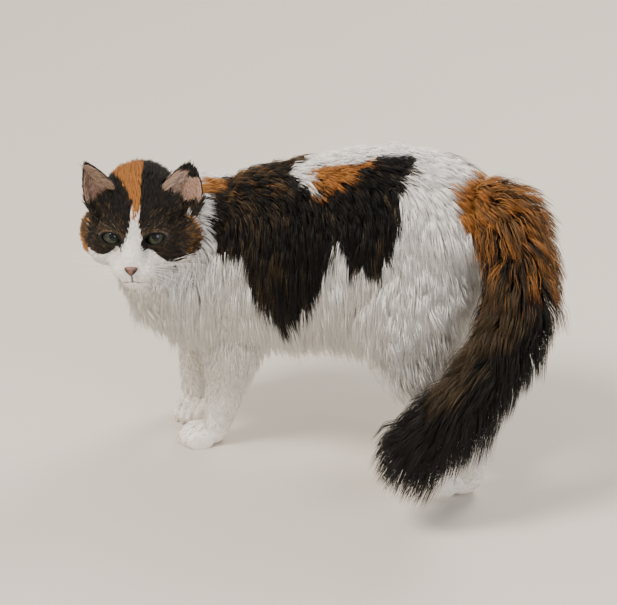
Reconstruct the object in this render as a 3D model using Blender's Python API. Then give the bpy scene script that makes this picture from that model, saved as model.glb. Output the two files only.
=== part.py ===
"""A standing longhair cat, life size, looking over its left shoulder side, as a still display model.

Metres, +Z up. +X runs from hips to shoulders, +Y is the cat's left. The cat is modelled whole as flesh with a
core of undercoat and overlapping tapered locks, and then parted into its named pieces with thin cuts.
"""

import math
import random

import bmesh
import bpy
import numpy as np
from mathutils import Matrix, Vector

# Gaps and resolution
GAP = 0.0003
SHORTEST_EDGE = 0.000004
BODY_SIDES = 16
TAIL_SIDES = 9
LIMB_SIDES = 12
HEAD_DIVISIONS = 5
HEAD_KEEP = 0.18
ROOM_KEEP = 0.12
PAW_KEEP = 0.15

# Depth of the coat over the flesh, from skin to tip
COAT_TOP = 0.016
COAT_SIDE = 0.026
COAT_NECK = 0.020
COAT_RUFF = 0.026
COAT_HAUNCH = 0.012
CORE_SHARE = 0.46

# Trunk flesh from rump to breast: (x, y, top of back, underside, half width, coat below)
TRUNK = [
    (-0.142, 0.000, 0.258, 0.215, 0.022, 0.024),
    (-0.120, 0.000, 0.284, 0.184, 0.046, 0.030),
    (-0.085, 0.000, 0.293, 0.158, 0.057, 0.038),
    (-0.040, 0.000, 0.286, 0.142, 0.060, 0.042),
    (0.008, 0.000, 0.273, 0.136, 0.060, 0.042),
    (0.055, 0.002, 0.258, 0.128, 0.054, 0.040),
    (0.095, 0.010, 0.240, 0.122, 0.046, 0.034),
    (0.130, 0.022, 0.212, 0.124, 0.037, 0.026),
    (0.156, 0.034, 0.188, 0.136, 0.024, 0.022),
]

# Neck flesh from shoulders to skull: (centre, radius)
NECK = [
    ((0.090, 0.006, 0.195), 0.044),
    ((0.116, 0.022, 0.214), 0.036),
    ((0.136, 0.044, 0.228), 0.030),
    ((0.145, 0.068, 0.236), 0.026),
]

# Bib of longer fur from the throat to the breast: (centre, radius)
BIB = [
    ((0.150, 0.086, 0.208), 0.012),
    ((0.152, 0.070, 0.187), 0.013),
    ((0.146, 0.050, 0.164), 0.014),
    ((0.136, 0.038, 0.148), 0.014),
]

# Limbs from the body down to the foot: (centre, half length along the body, half width)
FORELEG_LEFT = [
    ((0.078, 0.034, 0.185), 0.034, 0.020),
    ((0.083, 0.036, 0.118), 0.028, 0.021),
    ((0.094, 0.030, 0.076), 0.0225, 0.0175),
    ((0.103, 0.026, 0.046), 0.0185, 0.016),
    ((0.108, 0.0245, 0.028), 0.016, 0.0155),
    ((0.113, 0.0243, 0.010), 0.013, 0.0140),
]
FORELEG_RIGHT = [
    ((0.116, -0.022, 0.180), 0.032, 0.019),
    ((0.133, -0.029, 0.118), 0.026, 0.020),
    ((0.150, -0.032, 0.076), 0.021, 0.017),
    ((0.155, -0.031, 0.046), 0.0185, 0.016),
    ((0.156, -0.030, 0.028), 0.016, 0.0155),
    ((0.156, -0.029, 0.010), 0.013, 0.0140),
]
HINDLEG = [
    ((-0.090, 0.030, 0.235), 0.046, 0.030),
    ((-0.088, 0.044, 0.182), 0.048, 0.031),
    ((-0.094, 0.049, 0.138), 0.034, 0.026),
    ((-0.120, 0.047, 0.104), 0.024, 0.019),
    ((-0.145, 0.042, 0.078), 0.0165, 0.014),
    ((-0.148, 0.041, 0.047), 0.014, 0.0125),
    ((-0.144, 0.040, 0.022), 0.0145, 0.0140),
    ((-0.138, 0.040, 0.010), 0.013, 0.0135),
]
RIGHT_HIND_STEP = 0.026

# Rows of overlapping locks round the trunk: (angle from the back in degrees, how many, first and last row of
# TRUNK, drift back in rows, drift down in degrees, width, reach of the tips as a share of the coat)
TRUNK_LOCKS = [
    (16.0, 6, 1.5, 7.1, -2.1, -4.0, 0.050, 1.05),
    (46.0, 6, 0.9, 7.6, -1.5, 20.0, 0.048, 1.0),
    (76.0, 6, 1.3, 7.1, -0.8, 40.0, 0.048, 1.0),
    (108.0, 6, 0.9, 7.5, -0.6, 40.0, 0.048, 1.05),
    (142.0, 6, 1.4, 7.1, -0.5, 26.0, 0.046, 1.2),
]
LOCK_THICKNESS = 0.0055
LOCK_SEED = 7

# Locks round the neck, bib and tail: (first row, drift along the rows, how many round, first angle,
# width, reach)
NECK_LOCKS = [(2.6, -1.4, 6, 0.0, 0.044, 1.1)]
BIB_LOCKS = [(0.3, 1.3, 4, 90.0, 0.042, 1.1), (1.6, 1.4, 4, 120.0, 0.046, 1.1)]
TAIL_LOCKS = [
    (0.8, 1.5, 5, 0.0, 0.044, 1.1),
    (2.0, 1.5, 5, 36.0, 0.048, 1.1),
    (3.2, 1.5, 5, 0.0, 0.050, 1.1),
    (4.4, 1.5, 5, 36.0, 0.050, 1.1),
    (5.6, 1.5, 5, 0.0, 0.050, 1.1),
    (6.8, 1.6, 5, 36.0, 0.046, 1.0),
]
TAIL_SAG = 0.019
RIDGE_SHARES = (0.30, 0.80, 1.0, 1.0)
EDGE_SHARES = (0.15, 0.34, 0.70)
WIDTH_SHARES = (0.55, 1.0, 0.75)

# Single locks behind the thighs and elbows, and on the cheeks: (root, tip, outward way, width)
BREECHES = [
    ((-0.126, 0.034, 0.196), (-0.164, 0.040, 0.140), (-1.0, 0.4, 0.0), 0.034),
    ((-0.128, 0.012, 0.190), (-0.168, 0.014, 0.134), (-1.0, 0.1, 0.0), 0.032),
    ((-0.122, 0.050, 0.164), (-0.158, 0.056, 0.106), (-1.0, 0.6, 0.0), 0.030),
    ((-0.116, 0.062, 0.190), (-0.146, 0.076, 0.132), (-0.6, 1.0, 0.0), 0.032),
    ((-0.078, 0.068, 0.172), (-0.094, 0.084, 0.112), (0.0, 1.0, 0.0), 0.040),
]
FEATHERS = [
    ((0.062, 0.046, 0.130), (0.044, 0.052, 0.080), (-0.8, 0.6, 0.0), 0.022),
]
CHEEK_LOCKS = [
    ((-18, 44, -6), (-30, 58, -26), (0.3, 1.0, 0.2), 24.0),
    ((-12, 42, -20), (-22, 53, -44), (0.5, 1.0, 0.0), 24.0),
    ((-4, 34, -28), (-10, 42, -50), (0.8, 0.8, -0.2), 22.0),
]

# Feet: (centre on the floor, heading in degrees from +X towards +Y)
PAWS = {
    "paw_fore_left": ((0.1245, 0.0265), 40.0),
    "paw_fore_right": ((0.155, -0.018), 92.0),
    "paw_hind_left": ((-0.124, 0.040), 4.0),
    "paw_hind_right": ((-0.124 + RIGHT_HIND_STEP, -0.040), -4.0),
}
PAW_LENGTH = 0.046
PAW_WIDTH = 0.032
PAW_HEIGHT = 0.023

# Tail bones from the rump to the tip: (centre, flesh radius, coat)
TAIL = [
    ((-0.110, 0.000, 0.256), 0.014, 0.014),
    ((-0.1347, 0.000, 0.2590), 0.013, 0.024),
    ((-0.1660, 0.014, 0.2520), 0.012, 0.030),
    ((-0.1880, 0.035, 0.2320), 0.011, 0.027),
    ((-0.1945, 0.060, 0.2000), 0.010, 0.030),
    ((-0.1850, 0.085, 0.1610), 0.009, 0.032),
    ((-0.1579, 0.100, 0.1190), 0.008, 0.037),
    ((-0.1300, 0.112, 0.0880), 0.007, 0.040),
    ((-0.1110, 0.117, 0.0700), 0.005, 0.034),
]

# Cuts between neighbouring nodes: (point, direction of the node cut off)
PAW_CUT = 0.027
TAIL_CUTS = [((-0.188, 0.040, 0.226), (-0.2, 0.5, -0.6)), ((-0.178, 0.090, 0.150), (0.4, 0.35, -0.65))]
NECK_CUT = ((0.130, 0.040, 0.230), (0.35, 0.75, 0.55))

# Head: place of the midpoint between the eyeballs, the way the face points, and sizes in metres
EYES_MIDDLE = Vector((0.1396, 0.110, 0.2385))
FACE_YAW = 106.0
FACE_PITCH = 14.0
EYE_SPACING = 0.0375
EYEBALL_RADIUS = 0.0105
LID_THICKNESS = 0.0016

# From here to the ears all sizes are in millimetres, in head axes: forward, to the cat's left, up
MILLIMETRE = 0.001
FISSURE_WIDTH = 18.0
FISSURE_UP = 6.2
FISSURE_DOWN = 5.0
FISSURE_TILT = 12.0
FISSURE_LIFT = 9.0
NOSE_PLACE = (28.5, 0.0, -15.0)
NOSE_RADII = (4.8, 7.0, 5.2)
MOUTH_TOP = -26.5
MOUTH_DROP = 3.5
MOUTH_HALF_WIDTH = 24.0
MOUTH_GROOVE = 0.7
# Ears, left 1 and right -1: (base, tip, the way the cup opens, half width, how pointed)
EARS = {
    1: ((-22, 39, 22), (-51, 45, 39), (0.8, 0.1, 0.6), 17.0, 0.66),
    -1: ((-16, -27, 27), (-36, -43, 50), (0.75, 0.2, 0.6), 13.5, 0.9),
}
EAR_DEPTH = 13.0
EAR_WRAP = 100.0
EAR_WALL = 1.6
EAR_ROWS = 6
EAR_COLUMNS = 8

# Forms that are blended into the head: (centre, radii). Pairs are mirrored.
HEAD_SINGLE = [
    ((-35, 0, 9), (44, 35, 33)),
    ((-8, 0, 8), (20, 22, 20)),
    ((8, 0, -4), (20, 10.5, 12)),
    ((20, 0, -12), (10, 9, 8)),
    ((18, 0, -28), (12, 10, 8)),
    ((9, 0, -35), (17, 13, 9)),
    ((-20, 0, -26), (32, 28, 18)),
]
HEAD_PAIRS = [
    ((-4, 17, 9), (11, 13, 8)),
    ((-3, 19, -3), (10, 13, 11)),
    ((-11, 27, -13), (24, 18, 20)),
    ((17, 9, -21), (11.5, 11, 9.5)),
    ((-24, 35, -14), (20, 18, 26)),
    ((-26, 27, 18), (15, 14, 12)),
]
HEAD_BLEND = 9.0

# Colour and roughness of every node
FINISHES = {
    "head": ("#7a6450", 0.85),
    "ear_left": ("#8f7263", 0.8),
    "ear_right": ("#85695a", 0.8),
    "eye_left": ("#5d6b4c", 0.1),
    "eye_right": ("#5b694b", 0.1),
    "nose": ("#b07d70", 0.5),
    "neck": ("#d8d2cb", 0.9),
    "torso_front": ("#cfc8c0", 0.9),
    "torso_middle": ("#4a4036", 0.9),
    "torso_rear": ("#e4dfd8", 0.9),
    "foreleg_left": ("#e0dbd4", 0.9),
    "foreleg_right": ("#dcd7d0", 0.9),
    "hindleg_left": ("#dfdad3", 0.9),
    "hindleg_right": ("#dbd6cf", 0.9),
    "paw_fore_left": ("#e6e1da", 0.9),
    "paw_fore_right": ("#e5e0d9", 0.9),
    "paw_hind_left": ("#e3ded7", 0.9),
    "paw_hind_right": ("#e2ddd6", 0.9),
    "tail_base": ("#94724f", 0.9),
    "tail_middle": ("#6a523b", 0.9),
    "tail_tip": ("#2e2823", 0.9),
}


def clear_scene():
    """Removes what the start-up file holds."""
    for found in list(bpy.data.objects):
        bpy.data.objects.remove(found)


def paint(name, hex_colour, roughness):
    """A plain painted finish for one part of the coat or skin."""
    material = bpy.data.materials.new(name)
    material.use_nodes = True
    shader = material.node_tree.nodes["Principled BSDF"]
    channels = [int(hex_colour[i : i + 2], 16) / 255 for i in (1, 3, 5)]
    linear = [((c + 0.055) / 1.055) ** 2.4 if c > 0.04045 else c / 12.92 for c in channels]
    shader.inputs["Base Color"].default_value = (*linear, 1.0)
    shader.inputs["Roughness"].default_value = roughness
    shader.inputs["Metallic"].default_value = 0.0
    return material


def object_of(name, mesh_builder, collection=None):
    """A mesh object from a finished bmesh."""
    bmesh.ops.recalc_face_normals(mesh_builder, faces=mesh_builder.faces)
    mesh = bpy.data.meshes.new(name)
    mesh_builder.to_mesh(mesh)
    mesh_builder.free()
    made = bpy.data.objects.new(name, mesh)
    (collection or bpy.context.scene.collection).objects.link(made)
    return made


def ring_matrix(centre, along, lead, half_lead, half_side):
    """Carries the unit circle to an ellipse across a path: lead is the way its first half size points."""
    along = along.normalized()
    side = along.cross(lead).normalized()
    lead = side.cross(along).normalized()
    turn = Matrix((lead * half_lead, side * half_side, along)).transposed().to_4x4()
    return Matrix.Translation(centre) @ turn


def tangents(points):
    """The path's direction at each of its points."""
    last = len(points) - 1
    return [points[min(i + 1, last)] - points[max(i - 1, 0)] for i in range(last + 1)]


def swept(name, matrices, sides, collection=None):
    """A closed tube through a row of rings, each given by its matrix."""
    builder = bmesh.new()
    made = bmesh.ops.create_circle(builder, cap_ends=True, segments=sides, radius=1.0, matrix=matrices[0])
    edges = list({edge for vert in made["verts"] for edge in vert.link_edges})
    for before, after in zip(matrices, matrices[1:]):
        grown = bmesh.ops.extrude_edge_only(builder, edges=edges)["geom"]
        edges = [item for item in grown if isinstance(item, bmesh.types.BMEdge)]
        verts = [item for item in grown if isinstance(item, bmesh.types.BMVert)]
        bmesh.ops.transform(builder, matrix=after @ before.inverted(), verts=verts)
    bmesh.ops.edgeloop_fill(builder, edges=edges)
    return object_of(name, builder, collection)


def rounded(matrices, reach_start, reach_end):
    """Adds a few shrinking rings at both ends, so that a tube ends in a dome instead of a flat."""
    def dome(matrix, reach, sign):
        rings = []
        for angle in (38.0, 68.0):
            shrink = math.cos(math.radians(angle))
            push = sign * reach * math.sin(math.radians(angle))
            scale = Matrix.Diagonal((shrink, shrink, 1.0, 1.0))
            rings.append(matrix @ Matrix.Translation((0, 0, push)) @ scale)
        return rings

    return dome(matrices[0], reach_start, -1)[::-1] + matrices + dome(matrices[-1], reach_end, 1)


def smooth_rows(rows, per_gap):
    """Catmull-Rom values between the rows of a table of sizes."""
    table = np.array(rows, float)
    padded = np.vstack([2 * table[0] - table[1], table, 2 * table[-1] - table[-2]])
    found = []
    for i in range(1, len(table)):
        a, b, c, d = padded[i - 1 : i + 3]
        for step in range(per_gap):
            t = step / per_gap
            bend = (2 * a - 5 * b + 4 * c - d) * t**2 + (3 * b - a - 3 * c + d) * t**3
            found.append(0.5 * (2 * b + (c - a) * t + bend))
    found.append(table[-1])
    return found


def trunk_rings(share):
    """Rings of the trunk with a share of its coat."""
    rows = smooth_rows(TRUNK, 1)
    centres = []
    halves = []
    for x, y, top, bottom, half, below in rows:
        high = top + share * COAT_TOP
        low = bottom - share * below
        centres.append(Vector((x, y, (high + low) / 2)))
        halves.append(((high - low) / 2, half + share * COAT_SIDE))
    matrices = [
        ring_matrix(centre, along, Vector((0, 0, 1)), high_half, side_half)
        for centre, along, (high_half, side_half) in zip(centres, tangents(centres), halves)
    ]
    return rounded(matrices, 0.008 + share * 0.012, 0.008 + share * 0.016)


def round_rings(rows, lead):
    """Rings of a round part, such as the neck or tail, from its centres and outer radii."""
    flat = smooth_rows([(*centre, radius) for centre, radius in rows], 1)
    centres = [Vector(row[:3]) for row in flat]
    return [
        ring_matrix(centre, along, lead, row[3], row[3])
        for centre, along, row in zip(centres, tangents(centres), flat)
    ]


def limb_rings(rows):
    """Rings down a leg."""
    flat = smooth_rows([(*centre, length, width) for centre, length, width in rows], 2)
    centres = [Vector(row[:3]) for row in flat]
    return [
        ring_matrix(centre, along, Vector((1, 0, 0)), row[3], row[4])
        for centre, along, row in zip(centres, tangents(centres), flat)
    ]


def lock(name, points, outward, width, collection, thickness=LOCK_THICKNESS):
    """A flat tapered tuft of hair along four points: a low ridged section drawn to a point."""
    builder = bmesh.new()
    outward = Vector(outward)
    rings = []
    for index, share in enumerate((0.75, 1.0, 0.72)):
        point = points[index]
        along = (points[index + 1] - points[max(index - 1, 0)]).normalized()
        side = along.cross(outward).normalized()
        out = side.cross(along)
        half = width / 2 * share
        deep = thickness * (1.0 - 0.15 * index)
        corners = (point + side * half, point + out * deep, point - side * half)
        rings.append([builder.verts.new(corner) for corner in corners])
    tip = builder.verts.new(points[3])
    builder.faces.new(rings[0][::-1])
    for low, high in zip(rings, rings[1:]):
        for j in range(3):
            k = (j + 1) % 3
            builder.faces.new((low[j], low[k], high[k], high[j]))
    for j in range(3):
        builder.faces.new((rings[-1][j], rings[-1][(j + 1) % 3], tip))
    bmesh.ops.triangulate(builder, faces=builder.faces)
    return object_of(name, builder, collection)


def row_at(table, place):
    """The smoothed row of a table at a fractional place."""
    fine = smooth_rows(table, 12)
    return fine[int(round(max(0.0, min(len(table) - 1.0, place)) * 12))]


def trunk_at(place, angle, share):
    """A point of the trunk's coat: place along TRUNK, angle from the back, share of the coat's depth."""
    beyond = max(0.0, -place) - max(0.0, place - (len(TRUNK) - 1))
    x, y, top, bottom, half, below = row_at(TRUNK, place)
    high = top + share * COAT_TOP
    low = bottom - share * below
    turn = math.radians(angle)
    across = (half + share * COAT_SIDE) * math.sin(turn)
    return Vector((x - 0.03 * beyond, y + across, (high + low) / 2 + (high - low) / 2 * math.cos(turn)))


def tube_at(table, place, angle, share):
    """A point of a round part's coat, from rows (centre, flesh radius, coat)."""
    flat = [(*centre, radius, coat) for centre, radius, coat in table]
    last = len(table) - 1.0
    low = row_at(flat, max(0.0, min(place, last) - 0.25))
    high = row_at(flat, min(last, max(place, 0.0) + 0.25))
    here = row_at(flat, place)
    along = (Vector(high[:3]) - Vector(low[:3])).normalized()
    beyond = max(0.0, place - last) * 0.03
    side = along.cross(Vector((0, 0, 1))).normalized()
    up = side.cross(along)
    turn = math.radians(angle)
    reach = (here[3] + share * here[4]) * (1.0 - min(0.6, beyond * 12))
    return Vector(here[:3]) + along * beyond + (up * math.cos(turn) + side * math.sin(turn)) * reach


def surface_lock(name, at, start, drift, spans, width, reach, sag, collection):
    """A lock laid on a curved coat: its ridge lifts from the core to the tips, its edges stay sunk.

    at gives a point from (place, angle, share); spans are the metres in one place and in one degree.
    """
    step = Vector((drift[0] * spans[0], drift[1] * spans[1]))
    across = Vector((-step.y, step.x)).normalized() * width / 2
    builder = bmesh.new()
    rings = []
    for index, t in enumerate((0.0, 0.36, 0.70)):
        place = start[0] + drift[0] * t
        angle = start[1] + drift[1] * t
        half = across * WIDTH_SHARES[index]
        edge = EDGE_SHARES[index]
        corners = (
            at(place - half.x / spans[0], angle - half.y / spans[1], edge),
            at(place, angle, RIDGE_SHARES[index] * (reach if index else 1.0)),
            at(place + half.x / spans[0], angle + half.y / spans[1], edge),
        )
        rings.append([builder.verts.new(corner - Vector((0, 0, sag * t * t))) for corner in corners])
    end = at(start[0] + drift[0], start[1] + drift[1], RIDGE_SHARES[3] * reach)
    tip = builder.verts.new(end - Vector((0, 0, sag)))
    builder.faces.new(rings[0][::-1])
    for low, high in zip(rings, rings[1:]):
        for j in range(3):
            k = (j + 1) % 3
            builder.faces.new((low[j], low[k], high[k], high[j]))
    for j in range(3):
        builder.faces.new((rings[-1][j], rings[-1][(j + 1) % 3], tip))
    bmesh.ops.triangulate(builder, faces=builder.faces)
    return object_of(name, builder, collection)


def trunk_locks(collection):
    """Tiers of locks over the trunk, on both sides, each row a little out of step with the next."""
    chance = random.Random(LOCK_SEED)
    for row, (angle, count, first, last, back, down, width, reach) in enumerate(TRUNK_LOCKS):
        for side in (1, -1):
            for index in range(count):
                place = first + (last - first) * index / (count - 1) + chance.uniform(-0.12, 0.12)
                start = (place, side * (angle + chance.uniform(-3, 3)))
                drift = (back * chance.uniform(0.85, 1.15), side * (down * chance.uniform(0.9, 1.15) + 1.0))
                wide = width * chance.uniform(0.92, 1.08)
                far = reach * chance.uniform(0.97, 1.05)
                name = f"lock_{row}_{side}_{index}"
                surface_lock(name, trunk_at, start, drift, (0.037, 0.0015), wide, far, 0.0, collection)


def tube_locks(name, table, tiers, sag, collection):
    """Rings of locks round a neck, bib or tail."""
    chance = random.Random(name)

    def at(place, angle, share):
        return tube_at(table, place, angle, share)

    for row, (place, drift, count, first, width, reach) in enumerate(tiers):
        for index in range(count):
            angle = first + 360.0 * index / count + chance.uniform(-6, 6)
            start = (place + chance.uniform(-0.12, 0.12), angle)
            low = (0.6 - 0.4 * math.cos(math.radians(angle))) * sag
            wide = width * chance.uniform(0.92, 1.08)
            far = reach * chance.uniform(0.95, 1.06)
            sizes = ((drift, 2.0), (0.036, 0.0007), wide, far, low)
            surface_lock(f"{name}_{row}_{index}", at, start, *sizes, collection)


def single_lock(name, root, tip, outward, width, collection, place=None, thickness=LOCK_THICKNESS):
    """One lock between two points that bows outward on its way."""
    root = Vector(root)
    tip = Vector(tip)
    outward = Vector(outward).normalized()
    bow = (tip - root).length * 0.12
    steps = ((0, 0), (0.35, 0.9), (0.7, 0.9), (1, 0))
    points = [root + (tip - root) * t + outward * bow * b for t, b in steps]
    if place is not None:
        points = [place @ point for point in points]
        outward = place.to_3x3() @ outward
    return lock(name, points, outward, width, collection, thickness)


def ball(name, centre, radii, turn=0.0, divisions=2, collection=None):
    """An ellipsoid turned about the upright."""
    builder = bmesh.new()
    spun = Matrix.Rotation(math.radians(turn), 4, "Z") @ Matrix.Diagonal((*radii, 1.0))
    matrix = Matrix.Translation(centre) @ spun
    bmesh.ops.create_icosphere(builder, subdivisions=divisions, radius=1.0, matrix=matrix)
    return object_of(name, builder, collection)


def paw(name, collection):
    """A foot of an instep and four toes, fused; it reaches below the floor until it is cut level."""
    (x, y), heading = PAWS[name]
    turn = Matrix.Rotation(math.radians(heading), 3, "Z")
    sole = Vector((x, y, 0.0))
    instep = sole + turn @ Vector((-0.14 * PAW_LENGTH, 0, 0.44 * PAW_HEIGHT))
    radii = (0.42 * PAW_LENGTH, 0.47 * PAW_WIDTH, 0.56 * PAW_HEIGHT)
    foot = ball(name + "_foot", instep, radii, heading, 3, collection)
    toes = bpy.data.collections.new("toes")
    bpy.context.scene.collection.children.link(toes)
    for place in (-1.5, -0.5, 0.5, 1.5):
        forward = (0.20 if abs(place) < 1 else 0.12) * PAW_LENGTH
        centre = sole + turn @ Vector((forward, place * 0.235 * PAW_WIDTH, 0.33 * PAW_HEIGHT))
        radii = (0.30 * PAW_LENGTH, 0.165 * PAW_WIDTH, 0.47 * PAW_HEIGHT)
        ball(f"{name}_toe_{place + 1.5:.0f}", centre, radii, heading - place * 4.0, 3, toes)
    combine(foot, "UNION", toes)
    discard(toes)
    lighten(foot, PAW_KEEP)


def head_matrix():
    """From head axes (x forward, y to the cat's left, z up, in millimetres) to the world."""
    yaw = math.radians(FACE_YAW)
    pitch = math.radians(FACE_PITCH)
    forward = Vector((math.cos(yaw) * math.cos(pitch), math.sin(yaw) * math.cos(pitch), -math.sin(pitch)))
    left = Vector((-math.sin(yaw), math.cos(yaw), 0.0))
    turn = Matrix((forward, left, forward.cross(left))).transposed().to_4x4()
    return Matrix.Translation(EYES_MIDDLE) @ turn @ Matrix.Scale(MILLIMETRE, 4)


def head_distance(points, grow=0.0):
    """Signed distance, in millimetres, to the blended forms of the head."""
    forms = HEAD_SINGLE + HEAD_PAIRS + [((x, -y, z), radii) for (x, y, z), radii in HEAD_PAIRS]
    total = np.full(len(points), 1e3)
    for centre, radii in forms:
        scaled = (points - np.array(centre)) / (np.array(radii) + grow)
        length = np.linalg.norm(scaled, axis=1) + 1e-9
        slope = np.linalg.norm(scaled / (np.array(radii) + grow), axis=1) + 1e-9
        distance = length * (length - 1) / slope
        near = np.clip(0.5 + 0.5 * (total - distance) / HEAD_BLEND, 0, 1)
        total = total * (1 - near) + distance * near - HEAD_BLEND * near * (1 - near)
    return total


def head_surface(origin, rays, grow=0.0):
    """The outermost point of the head along each ray from a point inside it."""
    origin = np.array(origin, float)
    steps = np.linspace(100.0, 6.0, 189)
    reach = np.zeros(len(rays))
    found = np.zeros(len(rays), bool)
    before = head_distance(origin + rays * steps[0], grow)
    for far, step in zip(steps, steps[1:]):
        here = head_distance(origin + rays * step, grow)
        crossed = ~found & (here <= 0)
        share = before / np.maximum(before - here, 1e-9)
        reach[crossed] = (far + share * (step - far))[crossed]
        found |= crossed
        before = here
    return origin + rays * reach[:, None]


def head_skin(name, keep=HEAD_KEEP):
    """The head without ears: a sphere whose points are drawn in from outside onto the blended forms."""
    builder = bmesh.new()
    bmesh.ops.create_icosphere(builder, subdivisions=HEAD_DIVISIONS, radius=1.0)
    rays = np.array([vert.co[:] for vert in builder.verts])
    for vert, point in zip(builder.verts, head_surface((-12.0, 0.0, -8.0), rays)):
        vert.co = point
    bmesh.ops.transform(builder, matrix=head_matrix(), verts=builder.verts)
    made = object_of(name, builder)
    lighten(made, keep)
    return made


def cheek_locks(grow):
    """The locks of both cheeks; fattened when they make room in what lies behind them."""
    locks = bpy.data.collections.new("cheeks")
    bpy.context.scene.collection.children.link(locks)
    for side in (1, -1):
        for index, (root, tip, outward, width) in enumerate(CHEEK_LOCKS):
            ends = [(x, side * y, z) for x, y, z in (root, tip)]
            out = (outward[0], side * outward[1], outward[2])
            sizes = (width * MILLIMETRE, locks, head_matrix(), 0.0065)
            made = single_lock(f"cheek_{side}_{index}", *ends, out, *sizes)
            if grow:
                move_out(made, grow)
    return locks


def move_out(target, amount):
    """Moves the points of an object outward along their normals."""
    builder = bmesh.new()
    builder.from_mesh(target.data)
    bmesh.ops.recalc_face_normals(builder, faces=builder.faces)
    builder.normal_update()
    moves = [(vert, vert.normal.copy()) for vert in builder.verts]
    for vert, normal in moves:
        vert.co += normal * amount
    builder.to_mesh(target.data)
    builder.free()


def fattened(target, name, amount):
    """A copy whose points are moved outward."""
    made = copy_of(target, name)
    move_out(made, amount)
    return made


def apply_modifiers(target):
    """Makes the object's mesh what its modifiers show, and drops them."""
    bpy.context.view_layer.update()
    graph = bpy.context.evaluated_depsgraph_get()
    mesh = bpy.data.meshes.new_from_object(target.evaluated_get(graph))
    target.modifiers.clear()
    target.data = mesh


def lighten(target, keep):
    """Keeps a share of the object's faces."""
    thin = target.modifiers.new("Fewer faces", "DECIMATE")
    thin.ratio = keep
    apply_modifiers(target)


def combine(target, operation, other):
    """One Boolean between an object and another object or a whole collection, applied.

    The many crossing locks leave open edges with the EXACT solver, and none with MANIFOLD.
    """
    step = target.modifiers.new(operation.title(), "BOOLEAN")
    step.operation = operation
    step.solver = "MANIFOLD"
    if isinstance(other, bpy.types.Collection):
        step.operand_type = "COLLECTION"
        step.collection = other
    else:
        step.object = other
    apply_modifiers(target)


def discard(*targets):
    """Removes helper objects and collections once they are used."""
    for target in targets:
        if isinstance(target, bpy.types.Collection):
            for held in list(target.objects):
                bpy.data.objects.remove(held)
            bpy.data.collections.remove(target)
        else:
            bpy.data.objects.remove(target)


def keep_largest(target):
    """Keeps the closed surface with the most volume, dropping scraps and sealed hollows."""
    builder = bmesh.new()
    builder.from_mesh(target.data)
    bmesh.ops.dissolve_degenerate(builder, dist=SHORTEST_EDGE, edges=builder.edges)
    bmesh.ops.triangulate(builder, faces=builder.faces)
    left = set(builder.faces)
    groups = []
    while left:
        seed = left.pop()
        group = [seed]
        waiting = [seed]
        while waiting:
            for edge in waiting.pop().edges:
                if len(edge.link_faces) == 2:
                    fresh = [face for face in edge.link_faces if face in left]
                    left.difference_update(fresh)
                    group += fresh
                    waiting += fresh
        groups.append(group)

    def volume(group):
        return sum(f.verts[0].co.dot(f.verts[1].co.cross(f.verts[2].co)) for f in group) / 6

    groups.sort(key=volume)
    scraps = [face for group in groups[:-1] for face in group]
    bmesh.ops.delete(builder, geom=scraps, context="FACES")
    builder.to_mesh(target.data)
    builder.free()


def copy_of(target, name):
    """A second object with its own mesh."""
    made = target.copy()
    made.data = target.data.copy()
    made.name = name
    bpy.context.scene.collection.objects.link(made)
    return made


def slab(name, point, normal, reach=0.6):
    """A big box whose near face passes through a point, reaching away along the normal."""
    builder = bmesh.new()
    turn = Vector(normal).normalized().to_track_quat("Z", "Y").to_matrix().to_4x4()
    shift = Matrix.Translation((0, 0, 0.5))
    matrix = Matrix.Translation(point) @ turn @ Matrix.Scale(reach, 4) @ shift
    bmesh.ops.create_cube(builder, size=1.0, matrix=matrix)
    return object_of(name, builder)


def part_by_plane(whole, name, point, normal):
    """Cuts what lies along the normal off the whole, as a new node, and leaves a thin gap."""
    normal = Vector(normal).normalized()
    node = copy_of(whole, name)
    beyond = slab("beyond", Vector(point) + normal * GAP / 2, normal)
    combine(node, "INTERSECT", beyond)
    wider = slab("wider", Vector(point) - normal * GAP / 2, normal)
    combine(whole, "DIFFERENCE", wider)
    discard(beyond, wider)
    keep_largest(node)
    keep_largest(whole)
    return node


def part_by_cell(whole, name, cell):
    """Takes what lies in a closed convex-sided cell off the whole, as a new node, with a thin gap."""
    node = copy_of(whole, name)
    combine(node, "INTERSECT", cell)
    wider = fattened(cell, "wider", GAP * 1.2)
    combine(whole, "DIFFERENCE", wider)
    discard(cell, wider)
    keep_largest(node)
    keep_largest(whole)
    return node


def path_cell(name, points, halves):
    """A closed tube along a path, used to take one length of the cat off the whole."""
    points = [Vector(point) for point in points]
    matrices = [
        ring_matrix(point, along, Vector((1, 0, 0)), length, width)
        for point, along, (length, width) in zip(points, tangents(points), halves)
    ]
    return swept(name, matrices, LIMB_SIDES)


def leg_cell(name, rows, first, margin):
    """A tube round a leg from one of its rows down to under the floor."""
    points = [centre for centre, _, _ in rows[first:]]
    halves = [(length + margin, width + margin) for _, length, width in rows[first:]]
    reach = PAW_LENGTH
    foot = points[-1]
    points += [(foot[0] + 0.006, foot[1], -0.02)]
    halves = halves[:-2] + [(reach, reach * 0.8)] * 2 + [(reach, reach * 0.8)]
    return path_cell(name, points, halves)


def hindleg_rows(side):
    """The rows of a hind leg; the right one stands a little further forward."""
    step = 0.0 if side == 1 else RIGHT_HIND_STEP
    rows = []
    for index, ((x, y, z), length, width) in enumerate(HINDLEG):
        share = min(1.0, index / 3)
        rows.append(((x + step * share, side * y, z), length, width))
    return rows


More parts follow.
